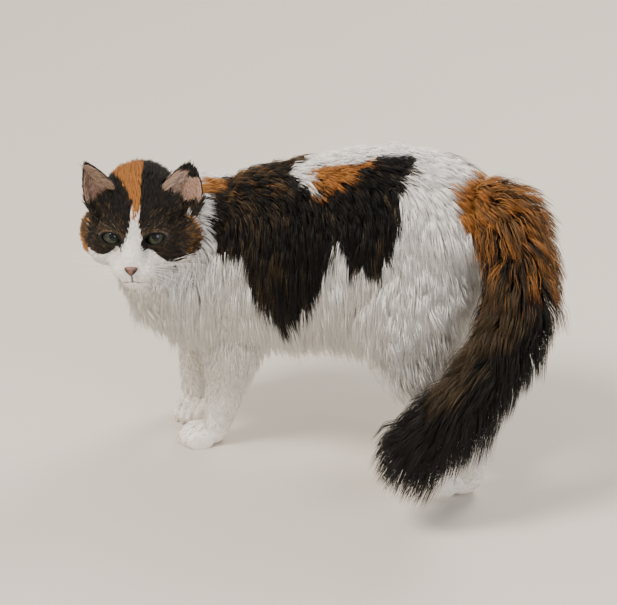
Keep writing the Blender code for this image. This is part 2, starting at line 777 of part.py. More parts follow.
def build_whole():
    """Flesh and coat of everything but the head, fused into one closed surface."""
    up = Vector((0, 0, 1))
    pieces = bpy.data.collections.new("pieces")
    bpy.context.scene.collection.children.link(pieces)
    whole = swept("whole", trunk_rings(CORE_SHARE), BODY_SIDES)
    neck = [(centre, radius + CORE_SHARE * COAT_NECK) for centre, radius in NECK]
    swept("neck_core", rounded(round_rings(neck, up), 0.01, 0.012), BODY_SIDES, pieces)
    bib = [(centre, radius + CORE_SHARE * COAT_RUFF) for centre, radius in BIB]
    swept("bib_core", rounded(round_rings(bib, Vector((1, 0, 0))), 0.02, 0.02), BODY_SIDES, pieces)
    tail = [(centre, radius + CORE_SHARE * coat) for centre, radius, coat in TAIL]
    swept("tail_core", rounded(round_rings(tail, up), 0.01, 0.03), TAIL_SIDES, pieces)
    for side, name in ((1, "left"), (-1, "right")):
        fore = FORELEG_LEFT if side == 1 else FORELEG_RIGHT
        hind = hindleg_rows(side)
        haunch = [(c, l + CORE_SHARE * COAT_HAUNCH, w + CORE_SHARE * COAT_HAUNCH) for c, l, w in hind[:3]]
        swept("hind_" + name, limb_rings(haunch + hind[3:]), LIMB_SIDES, pieces)
        swept("fore_" + name, limb_rings(fore), LIMB_SIDES, pieces)
    for name in PAWS:
        paw(name, pieces)
    combine(whole, "UNION", pieces)
    discard(pieces)
    locks = bpy.data.collections.new("locks")
    bpy.context.scene.collection.children.link(locks)
    trunk_locks(locks)
    tube_locks("neck", [(centre, radius, COAT_NECK) for centre, radius in NECK], NECK_LOCKS, 0.004, locks)
    tube_locks("bib", [(centre, radius, COAT_RUFF) for centre, radius in BIB], BIB_LOCKS, 0.006, locks)
    tube_locks("tail", TAIL, TAIL_LOCKS, TAIL_SAG, locks)
    for side in (1, -1):
        step = 0.0 if side == 1 else RIGHT_HIND_STEP * 0.6
        for index, (root, tip, outward, width) in enumerate(BREECHES):
            ends = [(x + step, side * y, z) for x, y, z in (root, tip)]
            single_lock(f"breech_{side}_{index}", *ends, (outward[0], side * outward[1], 0.0), width, locks)
        shift = (0.0, 0.0) if side == 1 else (0.052, 0.006)
        for index, (root, tip, outward, width) in enumerate(FEATHERS):
            ends = [(x + shift[0], side * (y - shift[1]), z) for x, y, z in (root, tip)]
            single_lock(f"feather_{side}_{index}", *ends, (outward[0], side * outward[1], 0.0), width, locks)
    combine(whole, "UNION", locks)
    discard(locks)
    keep_largest(whole)
    floor = slab("under_floor", (0, 0, 0), (0, 0, -1))
    combine(whole, "DIFFERENCE", floor)
    discard(floor)
    keep_largest(whole)
    return whole


def ear(name, side):
    """A hollow ear cup of thin skin, open towards the front."""
    base, tip, open_to, half, point_power = EARS[side]
    base = Vector(base)
    axis = (Vector(tip) - base).normalized()
    height = (Vector(tip) - base).length
    facing = (Vector(open_to) - axis * Vector(open_to).dot(axis)).normalized()
    across = axis.cross(facing)
    builder = bmesh.new()
    rows = []
    for i in range(EAR_ROWS + 1):
        up = i / EAR_ROWS * 1.25 - 0.25
        shape = min(1.0, 1 - max(up, 0.0))
        width = half * (0.07 + 0.93 * math.sin(shape * math.pi / 2) ** point_power)
        depth = EAR_DEPTH * (0.10 + 0.90 * shape**0.9)
        row = []
        for j in range(EAR_COLUMNS + 1):
            angle = math.radians(EAR_WRAP) * (2 * j / EAR_COLUMNS - 1)
            point = base + axis * (height * up) + across * (width * math.sin(angle))
            row.append(builder.verts.new(point - facing * (depth * (math.cos(angle) - 0.2))))
        rows.append(row)
    for low, high in zip(rows, rows[1:]):
        for j in range(EAR_COLUMNS):
            builder.faces.new((low[j], low[j + 1], high[j + 1], high[j]))
    bmesh.ops.transform(builder, matrix=head_matrix(), verts=builder.verts)
    made = object_of(name, builder)
    wall = made.modifiers.new("Thickness", "SOLIDIFY")
    wall.thickness = EAR_WALL * MILLIMETRE
    wall.offset = 0.0
    apply_modifiers(made)
    return made


def ear_hollow(name, side):
    """The room inside an ear that is cut into the skull in front of it."""
    base, tip, open_to, half, point_power = EARS[side]
    base = Vector(base)
    tip = Vector(tip)
    axis = (tip - base).normalized()
    facing = (Vector(open_to) - axis * Vector(open_to).dot(axis)).normalized()
    matrices = []
    for up, shrink in ((-0.06, 0.45), (0.02, 0.8), (0.15, 1.0), (0.4, 1.0), (0.65, 1.0), (0.85, 1.0)):
        shape = 1 - max(up, 0.0)
        width = half * (0.07 + 0.93 * math.sin(shape * math.pi / 2) ** point_power)
        depth = EAR_DEPTH * (0.10 + 0.90 * shape**0.9)
        centre = base + (tip - base) * up + facing * (depth * 0.2)
        halves = (max(0.5, depth - 1.2) * shrink, max(0.5, width - 1.2) * shrink)
        matrices.append(head_matrix() @ ring_matrix(centre, axis, facing, *halves))
    return swept(name, matrices, 14)


def nose_leather(name):
    """The leather of the nose: a rounded wedge, broad above and narrow below, with two nostrils."""
    builder = bmesh.new()
    bmesh.ops.create_icosphere(builder, subdivisions=4, radius=1.0)
    for vert in builder.verts:
        x, y, z = vert.co
        narrow = 0.62 + 0.38 * max(-1.0, min(1.0, z * 1.4 + 0.25))
        vert.co = Vector((x * NOSE_RADII[0], y * NOSE_RADII[1] * narrow, z * NOSE_RADII[2]))
        vert.co += Vector(NOSE_PLACE)
    bmesh.ops.transform(builder, matrix=head_matrix(), verts=builder.verts)
    made = object_of(name, builder)
    lighten(made, 0.2)
    return made


def nostril(name, side):
    """A short comma-shaped cutter for one nostril."""
    rows = [((4.0, 2.6, 0.4), 1.0), ((0.0, 3.4, 0.0), 1.3), ((-2.0, 4.2, 0.6), 0.6)]
    place = Vector(NOSE_PLACE) + Vector((NOSE_RADII[0] * 0.75, 0, -0.6))
    points = [place + Vector((x, side * y, z)) for (x, y, z), _ in rows]
    matrices = [
        head_matrix() @ ring_matrix(point, along, Vector((0, 0, 1)), radius, radius)
        for point, along, (_, radius) in zip(points, tangents(points), rows)
    ]
    return swept(name, matrices, 6)


def mouth_cutter(name):
    """A thin tube along the line of the lips, from under the nose down and out to both corners."""
    rows = []
    for share in np.linspace(-1.0, 1.0, 13):
        across = MOUTH_HALF_WIDTH * share
        low = MOUTH_DROP * math.sin(min(1.0, abs(share) * 2.2) * math.pi / 2) ** 2
        rows.append((across, MOUTH_TOP - low + 5.0 * max(0.0, abs(share) - 0.55)))
    points = []
    for y, z in rows:
        ray = np.array([[math.cos(y / 26.0), math.sin(y / 26.0), 0.0]])
        points.append(Vector(head_surface((2.0, 0.0, z), ray)[0]))
    matrices = [
        head_matrix() @ ring_matrix(point, along, Vector((0, 0, 1)), MOUTH_GROOVE, MOUTH_GROOVE)
        for point, along in zip(points, tangents(points))
    ]
    return swept(name, matrices, 5)


def lip_split(name):
    """A short cutter for the upright cleft between nose and mouth."""
    points = []
    for z in (NOSE_PLACE[2] - 2.0, (NOSE_PLACE[2] + MOUTH_TOP) / 2 - 1.0, MOUTH_TOP):
        points.append(Vector(head_surface((2.0, 0.0, z), np.array([[1.0, 0.0, 0.0]]))[0]))
    matrices = [
        head_matrix() @ ring_matrix(point, along, Vector((0, 1, 0)), MOUTH_GROOVE, MOUTH_GROOVE)
        for point, along in zip(points, tangents(points))
    ]
    return swept(name, matrices, 5)


def eye_centre(side):
    """The centre of one eyeball, in head axes."""
    return Vector((0.0, side * EYE_SPACING / 2, 0.0)) / MILLIMETRE


def head_ball(name, centre, radius, divisions):
    """A sphere given in head axes."""
    builder = bmesh.new()
    matrix = head_matrix() @ Matrix.Translation(centre)
    bmesh.ops.create_icosphere(builder, subdivisions=divisions, radius=radius, matrix=matrix)
    return object_of(name, builder)


def fissure(name, side):
    """An almond-shaped prism that opens the lids of one eye."""
    builder = bmesh.new()
    centre = eye_centre(side)
    outline = []
    for step in range(16):
        angle = 2 * math.pi * step / 16
        across = math.cos(angle) * FISSURE_WIDTH / 2
        high = math.sin(angle)
        high *= FISSURE_UP if high > 0 else FISSURE_DOWN
        high *= 1 - 0.25 * abs(math.cos(angle)) ** 3
        tilt = math.radians(FISSURE_TILT)
        y = across * math.cos(tilt) - high * math.sin(tilt)
        z = across * math.sin(tilt) + high * math.cos(tilt)
        outline.append((y, z))
    near = []
    far = []
    for y, z in outline:
        inner = centre + Vector((3.0, side * y * 0.9, z * 0.9 + FISSURE_LIFT / 7))
        outer = centre + Vector((24.0, side * (y * 1.15 + 3.0), z * 1.15 + FISSURE_LIFT))
        near.append(builder.verts.new(inner))
        far.append(builder.verts.new(outer))
    builder.faces.new(near)
    builder.faces.new(far)
    for i in range(len(near)):
        j = (i + 1) % len(near)
        builder.faces.new((near[i], near[j], far[j], far[i]))
    bmesh.ops.transform(builder, matrix=head_matrix(), verts=builder.verts)
    return object_of(name, builder)


def carve_face(head):
    """Adds lids round the sockets and cuts the sockets, eye openings, nose seat and mouth into the head."""
    for side in (1, -1):
        outside = (EYEBALL_RADIUS + LID_THICKNESS) / MILLIMETRE + 0.3
        lid = head_ball("lid", eye_centre(side), outside, 3)
        combine(head, "UNION", lid)
        discard(lid)
        socket = head_ball("socket", eye_centre(side), EYEBALL_RADIUS / MILLIMETRE + 0.55, 3)
        combine(head, "DIFFERENCE", socket)
        discard(socket)
        opening = fissure("opening", side)
        combine(head, "DIFFERENCE", opening)
        discard(opening)
    for cutter in (mouth_cutter("mouth"), lip_split("split")):
        combine(head, "DIFFERENCE", cutter)
        discard(cutter)
    nose = nose_leather("nose")
    seat = fattened(nose, "seat", GAP * 1.3)
    combine(head, "DIFFERENCE", seat)
    discard(seat)
    for side in (1, -1):
        hole = nostril("hole", side)
        combine(nose, "DIFFERENCE", hole)
        discard(hole)
    keep_largest(head)
    keep_largest(nose)
    return nose


def build():
    """Every node, still in the axes the sizes were drawn in."""
    whole = build_whole()
    head = head_skin("head")
    room = head_skin("room", ROOM_KEEP)
    grown = fattened(room, "grown", GAP * 5)
    discard(room)
    room = grown
    locks = cheek_locks(0.0)
    combine(head, "UNION", locks)
    discard(locks)
    keep_largest(head)
    combine(whole, "DIFFERENCE", room)
    locks = cheek_locks(GAP * 4)
    combine(whole, "DIFFERENCE", locks)
    discard(locks)
    keep_largest(whole)
    nodes = {"head": head}
    for side, name in ((1, "ear_left"), (-1, "ear_right")):
        nodes[name] = ear(name, side)
        combine(nodes[name], "DIFFERENCE", room)
        keep_largest(nodes[name])
        around = fattened(nodes[name], "around", GAP * 1.5)
        combine(whole, "DIFFERENCE", around)
        discard(around)
    discard(room)
    for side in (1, -1):
        hollow = ear_hollow("hollow", side)
        combine(head, "DIFFERENCE", hollow)
        discard(hollow)
    nodes["nose"] = carve_face(head)
    for side, name in ((1, "eye_left"), (-1, "eye_right")):
        nodes[name] = head_ball(name, eye_centre(side), EYEBALL_RADIUS / MILLIMETRE, 3)

    tail_points = [centre for centre, _, _ in TAIL]
    tail_halves = [(max(radius + coat + 0.016, 0.056),) * 2 for _, radius, coat in TAIL]
    start = Vector(tail_points[1])
    finish = Vector(tail_points[-1]) + Vector((0.05, 0.01, -0.04))
    cell = path_cell("cell", [start, *tail_points[2:], finish], tail_halves[1:] + tail_halves[-1:])
    nodes["tail_base"] = part_by_cell(whole, "tail_base", cell)
    nodes["tail_middle"] = part_by_plane(nodes["tail_base"], "tail_middle", *TAIL_CUTS[0])
    nodes["tail_tip"] = part_by_plane(nodes["tail_middle"], "tail_tip", *TAIL_CUTS[1])

    for side, name in ((1, "left"), (-1, "right")):
        rows = FORELEG_LEFT if side == 1 else FORELEG_RIGHT
        leg = part_by_cell(whole, "foreleg_" + name, leg_cell("cell", rows, 1, 0.012))
        nodes["foreleg_" + name] = leg
        nodes["paw_fore_" + name] = part_by_plane(leg, "paw_fore_" + name, (0, 0, PAW_CUT), (0, 0, -1))
        leg = part_by_cell(whole, "hindleg_" + name, leg_cell("cell", hindleg_rows(side), 2, 0.014))
        nodes["hindleg_" + name] = leg
        nodes["paw_hind_" + name] = part_by_plane(leg, "paw_hind_" + name, (0, 0, PAW_CUT), (0, 0, -1))

    nodes["torso_rear"] = part_by_plane(whole, "torso_rear", (-0.045, 0, 0.2), (-1, 0, 0))
    nodes["torso_front"] = part_by_plane(whole, "torso_front", (0.045, 0, 0.2), (1, 0, 0))
    nodes["neck"] = part_by_plane(nodes["torso_front"], "neck", *NECK_CUT)
    whole.name = "torso_middle"
    nodes["torso_middle"] = whole
    return nodes


def settle(nodes):
    """Moves every node so that the whole stands at the middle of its own footprint."""
    corners = np.array([vert.co[:] for node in nodes.values() for vert in node.data.vertices])
    middle = (corners.min(axis=0) + corners.max(axis=0)) / 2
    shift = Matrix.Translation((-middle[0], -middle[1], -corners[:, 2].min()))
    for node in nodes.values():
        node.data.transform(shift)


def main():
    clear_scene()
    nodes = build()
    settle(nodes)
    for name, node in nodes.items():
        node.name = name
        node.data.name = name
        node.data.materials.clear()
        node.data.materials.append(paint(name, *FINISHES[name]))
        node.data.shade_smooth()
        node.data.set_sharp_from_angle(angle=math.radians(50))


main()
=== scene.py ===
"""Looks of a standing calico longhair cat: skin, eyes, nose, claws, whiskers and a coat of solid tufts.

Sizes are drawn in the axes of the solids before they were centred: +X from hips to shoulders, +Y the cat's
left, +Z up, in metres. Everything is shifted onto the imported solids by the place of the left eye.
"""

import itertools
import math

import bmesh
import bpy
import numpy as np
from bpy.props import FloatProperty, FloatVectorProperty, IntProperty, PointerProperty
from mathutils import Matrix, Vector
from mathutils.kdtree import KDTree


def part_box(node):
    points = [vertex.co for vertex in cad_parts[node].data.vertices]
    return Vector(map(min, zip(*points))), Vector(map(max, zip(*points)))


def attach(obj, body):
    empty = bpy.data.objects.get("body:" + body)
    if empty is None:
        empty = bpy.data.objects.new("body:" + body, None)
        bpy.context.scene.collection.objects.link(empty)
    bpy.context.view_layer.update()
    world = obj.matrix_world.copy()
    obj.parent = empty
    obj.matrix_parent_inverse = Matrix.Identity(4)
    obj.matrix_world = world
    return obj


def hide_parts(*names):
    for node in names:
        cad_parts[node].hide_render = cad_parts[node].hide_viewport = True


bl_info = {
    "name": "Longhair cat looks",
    "version": (1, 0, 0),
    "blender": (4, 5, 0),
    "location": "3D View > Sidebar > Cat",
    "description": "Builds the skin, eyes, coat and studio of a standing longhair cat",
    "category": "Object",
}

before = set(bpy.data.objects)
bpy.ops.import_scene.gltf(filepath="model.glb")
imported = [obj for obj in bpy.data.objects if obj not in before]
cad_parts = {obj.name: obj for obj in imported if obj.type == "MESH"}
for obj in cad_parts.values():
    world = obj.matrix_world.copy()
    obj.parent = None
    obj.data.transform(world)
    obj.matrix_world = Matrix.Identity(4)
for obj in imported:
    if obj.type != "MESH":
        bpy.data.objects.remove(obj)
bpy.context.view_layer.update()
MILLIMETRE = 0.001
UP = Vector((0.0, 0.0, 1.0))
FORWARD = Vector((1.0, 0.0, 0.0))
DOWN = np.array([0.0, 0.0, -1.0])

# Body under the coat, from rump to breast: (x, y, top of back, underside, half width, coat below)
TRUNK = [
    (-0.142, 0.0, 0.258, 0.215, 0.022, 0.024),
    (-0.12, 0.0, 0.284, 0.184, 0.046, 0.03),
    (-0.085, 0.0, 0.293, 0.158, 0.057, 0.038),
    (-0.04, 0.0, 0.286, 0.142, 0.06, 0.042),
    (0.008, 0.0, 0.273, 0.136, 0.06, 0.042),
    (0.055, 0.002, 0.258, 0.128, 0.054, 0.04),
    (0.095, 0.01, 0.24, 0.122, 0.046, 0.034),
    (0.13, 0.022, 0.212, 0.124, 0.037, 0.026),
    (0.156, 0.034, 0.188, 0.136, 0.024, 0.022),
]
COAT_TOP = 0.016
COAT_SIDE = 0.026
UNDERCOAT_SHARE = 0.2

# Neck and bib: (centre, radius)
NECK = [
    ((0.09, 0.006, 0.195), 0.044),
    ((0.116, 0.022, 0.214), 0.036),
    ((0.136, 0.044, 0.228), 0.03),
    ((0.145, 0.068, 0.236), 0.026),
]
BIB = [
    ((0.15, 0.086, 0.208), 0.012),
    ((0.152, 0.07, 0.187), 0.013),
    ((0.146, 0.05, 0.164), 0.014),
    ((0.136, 0.038, 0.148), 0.014),
]

# Limbs from the body down to the foot: (centre, half length along the body, half width)
FORELEG_LEFT = [
    ((0.078, 0.034, 0.185), 0.034, 0.02),
    ((0.083, 0.036, 0.118), 0.028, 0.021),
    ((0.094, 0.03, 0.076), 0.0225, 0.0175),
    ((0.103, 0.026, 0.046), 0.0185, 0.016),
    ((0.108, 0.0245, 0.028), 0.016, 0.0155),
    ((0.113, 0.0243, 0.01), 0.013, 0.014),
]
FORELEG_RIGHT = [
    ((0.116, -0.022, 0.18), 0.032, 0.019),
    ((0.133, -0.029, 0.118), 0.026, 0.02),
    ((0.15, -0.032, 0.076), 0.021, 0.017),
    ((0.155, -0.031, 0.046), 0.0185, 0.016),
    ((0.156, -0.03, 0.028), 0.016, 0.0155),
    ((0.156, -0.029, 0.01), 0.013, 0.014),
]
HINDLEG = [
    ((-0.09, 0.03, 0.235), 0.046, 0.03),
    ((-0.088, 0.044, 0.182), 0.048, 0.031),
    ((-0.094, 0.049, 0.138), 0.034, 0.026),
    ((-0.12, 0.047, 0.104), 0.024, 0.019),
    ((-0.145, 0.042, 0.078), 0.0165, 0.014),
    ((-0.148, 0.041, 0.047), 0.014, 0.0125),
    ((-0.144, 0.04, 0.022), 0.0145, 0.014),
    ((-0.138, 0.04, 0.01), 0.013, 0.0135),
]
RIGHT_HIND_STEP = 0.026

# Undercoat in metres: the skin leaves it off the legs and adds it on neck, bib and tail
LEG_FUR = 0.0025
NECK_UNDERCOAT = 0.004
TAIL_UNDERCOAT = 0.001

# How regions share the skin, in metres: what the head's takes beyond the skull, and the softness of edges
HEAD_REACH = 0.002
REGION_BLEND = 0.005

# Feet: (centre on the floor, heading in degrees from +X towards +Y)
PAWS = {
    "fore_left": ((0.1245, 0.0265), 40.0),
    "fore_right": ((0.155, -0.018), 92.0),
    "hind_left": ((-0.124, 0.04), 4.0),
    "hind_right": ((-0.124 + RIGHT_HIND_STEP, -0.04), -4.0),
}
PAW_SIZE = (0.046, 0.032, 0.023)
PAW_FUR = 0.0012

# Half sizes of a foot's instep and of a toe, as shares of the foot
INSTEP_SHARES = (0.42, 0.47, 0.56)
TOE_SHARES = (0.3, 0.152, 0.47)

# Claws along their curve: (forward, down) in metres, and their thickness at the root
CLAW_CURVE = [(0.0, 0.0), (0.0018, 0.0004), (0.0032, 0.0016), (0.0038, 0.0032)]
CLAW_THICKNESS = 0.0009

# Tail from the rump to the tip: (centre, flesh radius)
TAIL = [
    ((-0.11, 0.0, 0.256), 0.014),
    ((-0.1347, 0.0, 0.259), 0.013),
    ((-0.166, 0.014, 0.252), 0.012),
    ((-0.188, 0.035, 0.232), 0.011),
    ((-0.1945, 0.06, 0.2), 0.01),
    ((-0.185, 0.085, 0.161), 0.009),
    ((-0.1579, 0.1, 0.119), 0.008),
    ((-0.13, 0.112, 0.088), 0.007),
    ((-0.111, 0.117, 0.07), 0.005),
]

# Head: midpoint between the eyeballs and the way the face points
EYES_MIDDLE = Vector((0.1396, 0.11, 0.2385))
FACE_YAW = 106.0
FACE_PITCH = 14.0
EYE_SPACING = 0.0375
EYEBALL_RADIUS = 0.0105

# Forms blended into the head, in millimetres forward, to the cat's left and up: (centre, radii)
HEAD_SINGLE = [
    ((-35, 0, 9), (44, 35, 33)),
    ((-8, 0, 8), (20, 22, 20)),
    ((8, 0, -4), (20, 10.5, 12)),
    ((20, 0, -12), (10, 9, 8)),
    ((18, 0, -28), (12, 10, 8)),
    ((9, 0, -35), (17, 13, 9)),
    ((-20, 0, -26), (32, 28, 18)),
]
HEAD_PAIRS = [
    ((-4, 17, 9), (11, 13, 8)),
    ((-3, 19, -3), (10, 13, 11)),
    ((-11, 27, -13), (24, 18, 20)),
    ((17, 9, -21), (11.5, 11, 9.5)),
    ((-24, 35, -14), (20, 18, 26)),
    ((-26, 27, 18), (15, 14, 12)),
]
HEAD_BLEND = 9.0

# Lids, nose and mouth, in the same millimetres
FISSURE_WIDTH = 18.5
FISSURE_UP = 6.0
FISSURE_DOWN = 4.8
FISSURE_TILT = 12.0
FISSURE_LIFT = 9.0
LID_THICKNESS = 1.5
SOCKET_GAP = 0.15
NOSE_PLACE = (28.5, 0.0, -15.0)
NOSE_RADII = (4.8, 7.0, 5.2)
NOSTRIL = [(4.0, 2.6, 0.4, 1.0), (0.0, 3.4, 0.0, 1.3), (-2.0, 4.2, 0.6, 0.6)]
MOUTH_TOP = -26.5
MOUTH_DROP = 3.5
MOUTH_HALF_WIDTH = 24.0
MOUTH_GROOVE = 0.9
EARS = {
    1: ((-22, 39, 22), (-51, 45, 39), (0.8, 0.1, 0.6), 17.0, 0.66),
    -1: ((-16, -27, 27), (-36, -43, 50), (0.75, 0.2, 0.6), 13.5, 0.9),
}
EAR_DEPTH = 13.0
EAR_WRAP = 100.0
EAR_WALL = 2.0

# Finest detail that is kept when forms are fused: of the head in millimetres, of body and feet in metres
HEAD_VOXEL = 0.92
BODY_VOXEL = 0.0035
FOOT_VOXEL = 0.0012

# Camera that took the photograph, with the width of its picture in pixels
PICTURE_WIDTH = 617
FOCAL_PIXELS = 3060.0
VIEW_AZIMUTH = 23.5
VIEW_ELEVATION = 24.6
VIEW_ROLL = 2.2
CAMERA_PLACE = Vector((-0.96968, 2.28832, 1.28631))

# Lamps: (name, place, width, power, colour), and the point that they face
LAMPS = [
    ("key", (0.9, 1.7, 2.9), 1.1, 150.0, "#fff5ea"),
    ("fill", (-2.4, 1.8, 1.6), 2.2, 60.0, "#f1f4ff"),
    ("rim", (-0.8, -2.0, 2.2), 1.4, 70.0, "#fff6ea"),
]
LAMPS_FACE = Vector((0.0, 0.0, 0.15))

# Whiskers: seed of their lengths, rows on each side (with as many hairs in a row), hairs over each eye
WHISKER_SEED = 5
WHISKER_ROWS = 4
BROW_HAIRS = 2


def linear(hex_colour):
    """Linear channels, with full alpha, of an sRGB hex colour."""
    channels = [int(hex_colour[i : i + 2], 16) / 255 for i in (1, 3, 5)]
    return (*[((c + 0.055) / 1.055) ** 2.4 if c > 0.04045 else c / 12.92 for c in channels], 1.0)


def colour(label, hex_colour, about):
    """A colour that a user may change."""
    return FloatVectorProperty(
        name=label, description=about, subtype="COLOR", size=4, min=0.0, max=1.0, default=linear(hex_colour)
    )


def length(label, metres, about):
    """A length that a user may change."""
    return FloatProperty(name=label, description=about, default=metres, min=0.0, unit="LENGTH", precision=4)


def linked(name, data):
    """A new object of its data, linked to the scene."""
    made = bpy.data.objects.new(name, data)
    bpy.context.scene.collection.objects.link(made)
    return made


class CatSizes(bpy.types.PropertyGroup):
    """Sizes of the coat and the finer pieces."""

    body_hair: length("Body hair", 0.0009, "Width of a tuft of body hair at its widest")
    whisker: length("Whisker", 0.0003, "Thickness of a whisker at its root")
    whisker_length: length("Whisker length", 0.052, "Length of the longest whisker")
    coat_seed: IntProperty(name="Coat seed", description="Seed of the coat's scatter", default=11)


class CatColours(bpy.types.PropertyGroup):
    """Colours of coat, skin, eyes and stage."""

    white: colour("White fur", "#fdfbf7", "Tips of the white fur")
    white_root: colour("White roots", "#efe8de", "Roots of the white fur")
    ginger: colour("Ginger fur", "#9c5a20", "Tips of the ginger fur")
    ginger_root: colour("Ginger roots", "#bd8848", "Roots of the ginger fur")
    black: colour("Black fur", "#0b0907", "Tips of the black fur")
    black_root: colour("Black roots", "#1c1612", "Roots of the black fur")
    # Brown also serves as painted shade in the furrows between the toes.
    brown: colour("Brown fur", "#50402b", "Ticked hairs in the dark fur")
    leather: colour("Nose leather", "#6f4a3d", "Skin of the nose")
    # Inner-ear skin comes as a lit and a shaded copy: the paler left-ear colour is painted light, and the
    # ear skin below is its own colour darkened with painted shade.
    ear_painted_light: colour("Pale ear skin", "#8f6c5a", "Bare skin inside the left ear, which catches the light")
    ear_skin: colour("Ear skin", "#73574a", "Bare skin inside the ears")
    rim: colour("Lid rims", "#0b0806", "Rims of the lids and edges of the lips")
    iris: colour("Iris", "#1d2119", "Outer part of the iris")
    iris_inner: colour("Inner iris", "#3c4231", "Iris round the pupil")
    pupil: colour("Pupil", "#050505", "Pupil")
    claw: colour("Claw", "#d9cbbd", "Horn of the claws")
    floor: colour("Floor", "#cbc4b9", "Studio floor")


def drafted_left():
    """The cat's left, seen along its face."""
    yaw = math.radians(FACE_YAW)
    return Vector((-math.sin(yaw), math.cos(yaw), 0.0))


def shift():
    """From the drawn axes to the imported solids."""
    low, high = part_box("eye_left")
    return (low + high) / 2 - (EYES_MIDDLE + drafted_left() * EYE_SPACING / 2)


SHIFT = shift()


def face_forward():
    """The way the face points."""
    yaw = math.radians(FACE_YAW)
    pitch = math.radians(FACE_PITCH)
    return Vector((math.cos(yaw) * math.cos(pitch), math.sin(yaw) * math.cos(pitch), -math.sin(pitch)))


def head_matrix():
    """From head axes in millimetres to the drawn axes."""
    forward = face_forward()
    left = drafted_left()
    turn = Matrix((forward, left, forward.cross(left))).transposed().to_4x4()
    return Matrix.Translation(EYES_MIDDLE) @ turn @ Matrix.Scale(MILLIMETRE, 4)


def in_head(points):
    """Points in head axes, in millimetres."""
    back = np.array(head_matrix().inverted())
    return points @ back[:3, :3].T + back[:3, 3]


def object_of(name, builder):
    """A smooth mesh object from a finished bmesh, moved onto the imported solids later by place()."""
    bmesh.ops.recalc_face_normals(builder, faces=builder.faces)
    mesh = bpy.data.meshes.new(name)
    builder.to_mesh(mesh)
    builder.free()
    mesh.shade_smooth()
    return linked(name, mesh)


def place(piece, slot, *replaced, material=None):
    """Shifts a drawn piece onto the solids, gives it its material and lets it ride on the body."""
    piece.data.transform(Matrix.Translation(SHIFT))
    if material:
        piece.data.materials.clear()
        piece.data.materials.append(material)
    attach(piece, "root")
    if replaced:
        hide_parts(*replaced)


def ring_matrix(centre, along, lead, half_lead, half_side):
    """Carries the unit circle to an ellipse across a path: lead is the way its first half size points."""
    along = along.normalized()
    side = along.cross(lead).normalized()
    lead = side.cross(along).normalized()
    turn = Matrix((lead * half_lead, side * half_side, along)).transposed().to_4x4()
    return Matrix.Translation(centre) @ turn


def tangents(points):
    """The path's direction at each of its points."""
    last = len(points) - 1
    return [points[min(i + 1, last)] - points[max(i - 1, 0)] for i in range(last + 1)]


def rings_along(points, lead, halves):
    """Rings across a path through points, each with its half sizes along lead and across it."""
    rows = zip(points, tangents(points), halves)
    return [ring_matrix(point, along, lead, *half) for point, along, half in rows]


def with_undercoat(top, bottom, half, below):
    """Top, underside and half width of the trunk with its undercoat on."""
    high, side = UNDERCOAT_SHARE * COAT_TOP, UNDERCOAT_SHARE * COAT_SIDE
    return top + high, bottom - UNDERCOAT_SHARE * below, half + side


def smooth_rows(rows, per_gap):
    """Catmull-Rom values between the rows of a table of sizes."""
    table = np.array(rows, float)
    padded = np.vstack([2 * table[0] - table[1], table, 2 * table[-1] - table[-2]])
    found = []
    for i in range(1, len(table)):
        a, b, c, d = padded[i - 1 : i + 3]
        for step in range(per_gap):
            t = step / per_gap
            bend = (2 * a - 5 * b + 4 * c - d) * t**2 + (3 * b - a - 3 * c + d) * t**3
            found.append(0.5 * (2 * b + (c - a) * t + bend))
    found.append(table[-1])
    return found


def sweep(builder, matrices, sides):
    """Adds a closed tube through a row of rings to a bmesh, with domed ends."""
    def dome(matrix, sign):
        """Two smaller rings beyond one end."""
        rings = []
        reach = matrix.to_scale()[0] * 0.5
        for angle in (38.0, 68.0):
            shrink = math.cos(math.radians(angle))
            push = sign * reach * math.sin(math.radians(angle))
            rings.append(matrix @ Matrix.Translation((0, 0, push)) @ Matrix.Diagonal((shrink, shrink, 1, 1)))
        return rings

    rings = dome(matrices[0], -1)[::-1] + matrices + dome(matrices[-1], 1)
    made = bmesh.ops.create_circle(builder, cap_ends=True, segments=sides, radius=1.0, matrix=rings[0])
    edges = list({edge for vert in made["verts"] for edge in vert.link_edges})
    for before, after in zip(rings, rings[1:]):
        grown = bmesh.ops.extrude_edge_only(builder, edges=edges)["geom"]
        edges = [item for item in grown if isinstance(item, bmesh.types.BMEdge)]
        verts = [item for item in grown if isinstance(item, bmesh.types.BMVert)]
        bmesh.ops.transform(builder, matrix=after @ before.inverted(), verts=verts)
    bmesh.ops.edgeloop_fill(builder, edges=edges)


def trunk_rings():
    """Rings of the trunk with its undercoat."""
    centres = []
    halves = []
    for x, y, *edges in smooth_rows(TRUNK, 4):
        high, low, wide = with_undercoat(*edges)
        centres.append(Vector((x, y, (high + low) / 2)))
        halves.append(((high - low) / 2, wide))
    return rings_along(centres, UP, halves)


def path_rings(rows, lead, grow):
    """Rings along a limb, neck or tail from (centre, half along lead, half across)."""
    flat = smooth_rows([(*centre, *halves) for centre, *halves in rows], 4)
    halves = [(row[3] + grow, row[-1] + grow) for row in flat]
    return rings_along([Vector(row[:3]) for row in flat], lead, halves)


def hindleg_rows(side):
    """The rows of a hind leg; the right one stands a little further forward."""
    step = 0.0 if side == 1 else RIGHT_HIND_STEP
    return [
        ((x + step * min(1.0, index / 3), side * y, z), *halves)
        for index, ((x, y, z), *halves) in enumerate(HINDLEG)
    ]


def turned(heading):
    """A turn by a heading in degrees about the upright."""
    return Matrix.Rotation(math.radians(heading), 3, "Z")


def add_ball(builder, centre, shares, fur, turn):
    """Adds a foot's ellipsoid, sized by shares of the paw and less its fur, turned about the upright."""
    radii = [share * size - fur for share, size in zip(shares, PAW_SIZE)]
    spun = turned(turn).to_4x4() @ Matrix.Diagonal((*radii, 1.0))
    matrix = Matrix.Translation(centre) @ spun
    bmesh.ops.create_icosphere(builder, subdivisions=4, radius=1.0, matrix=matrix)


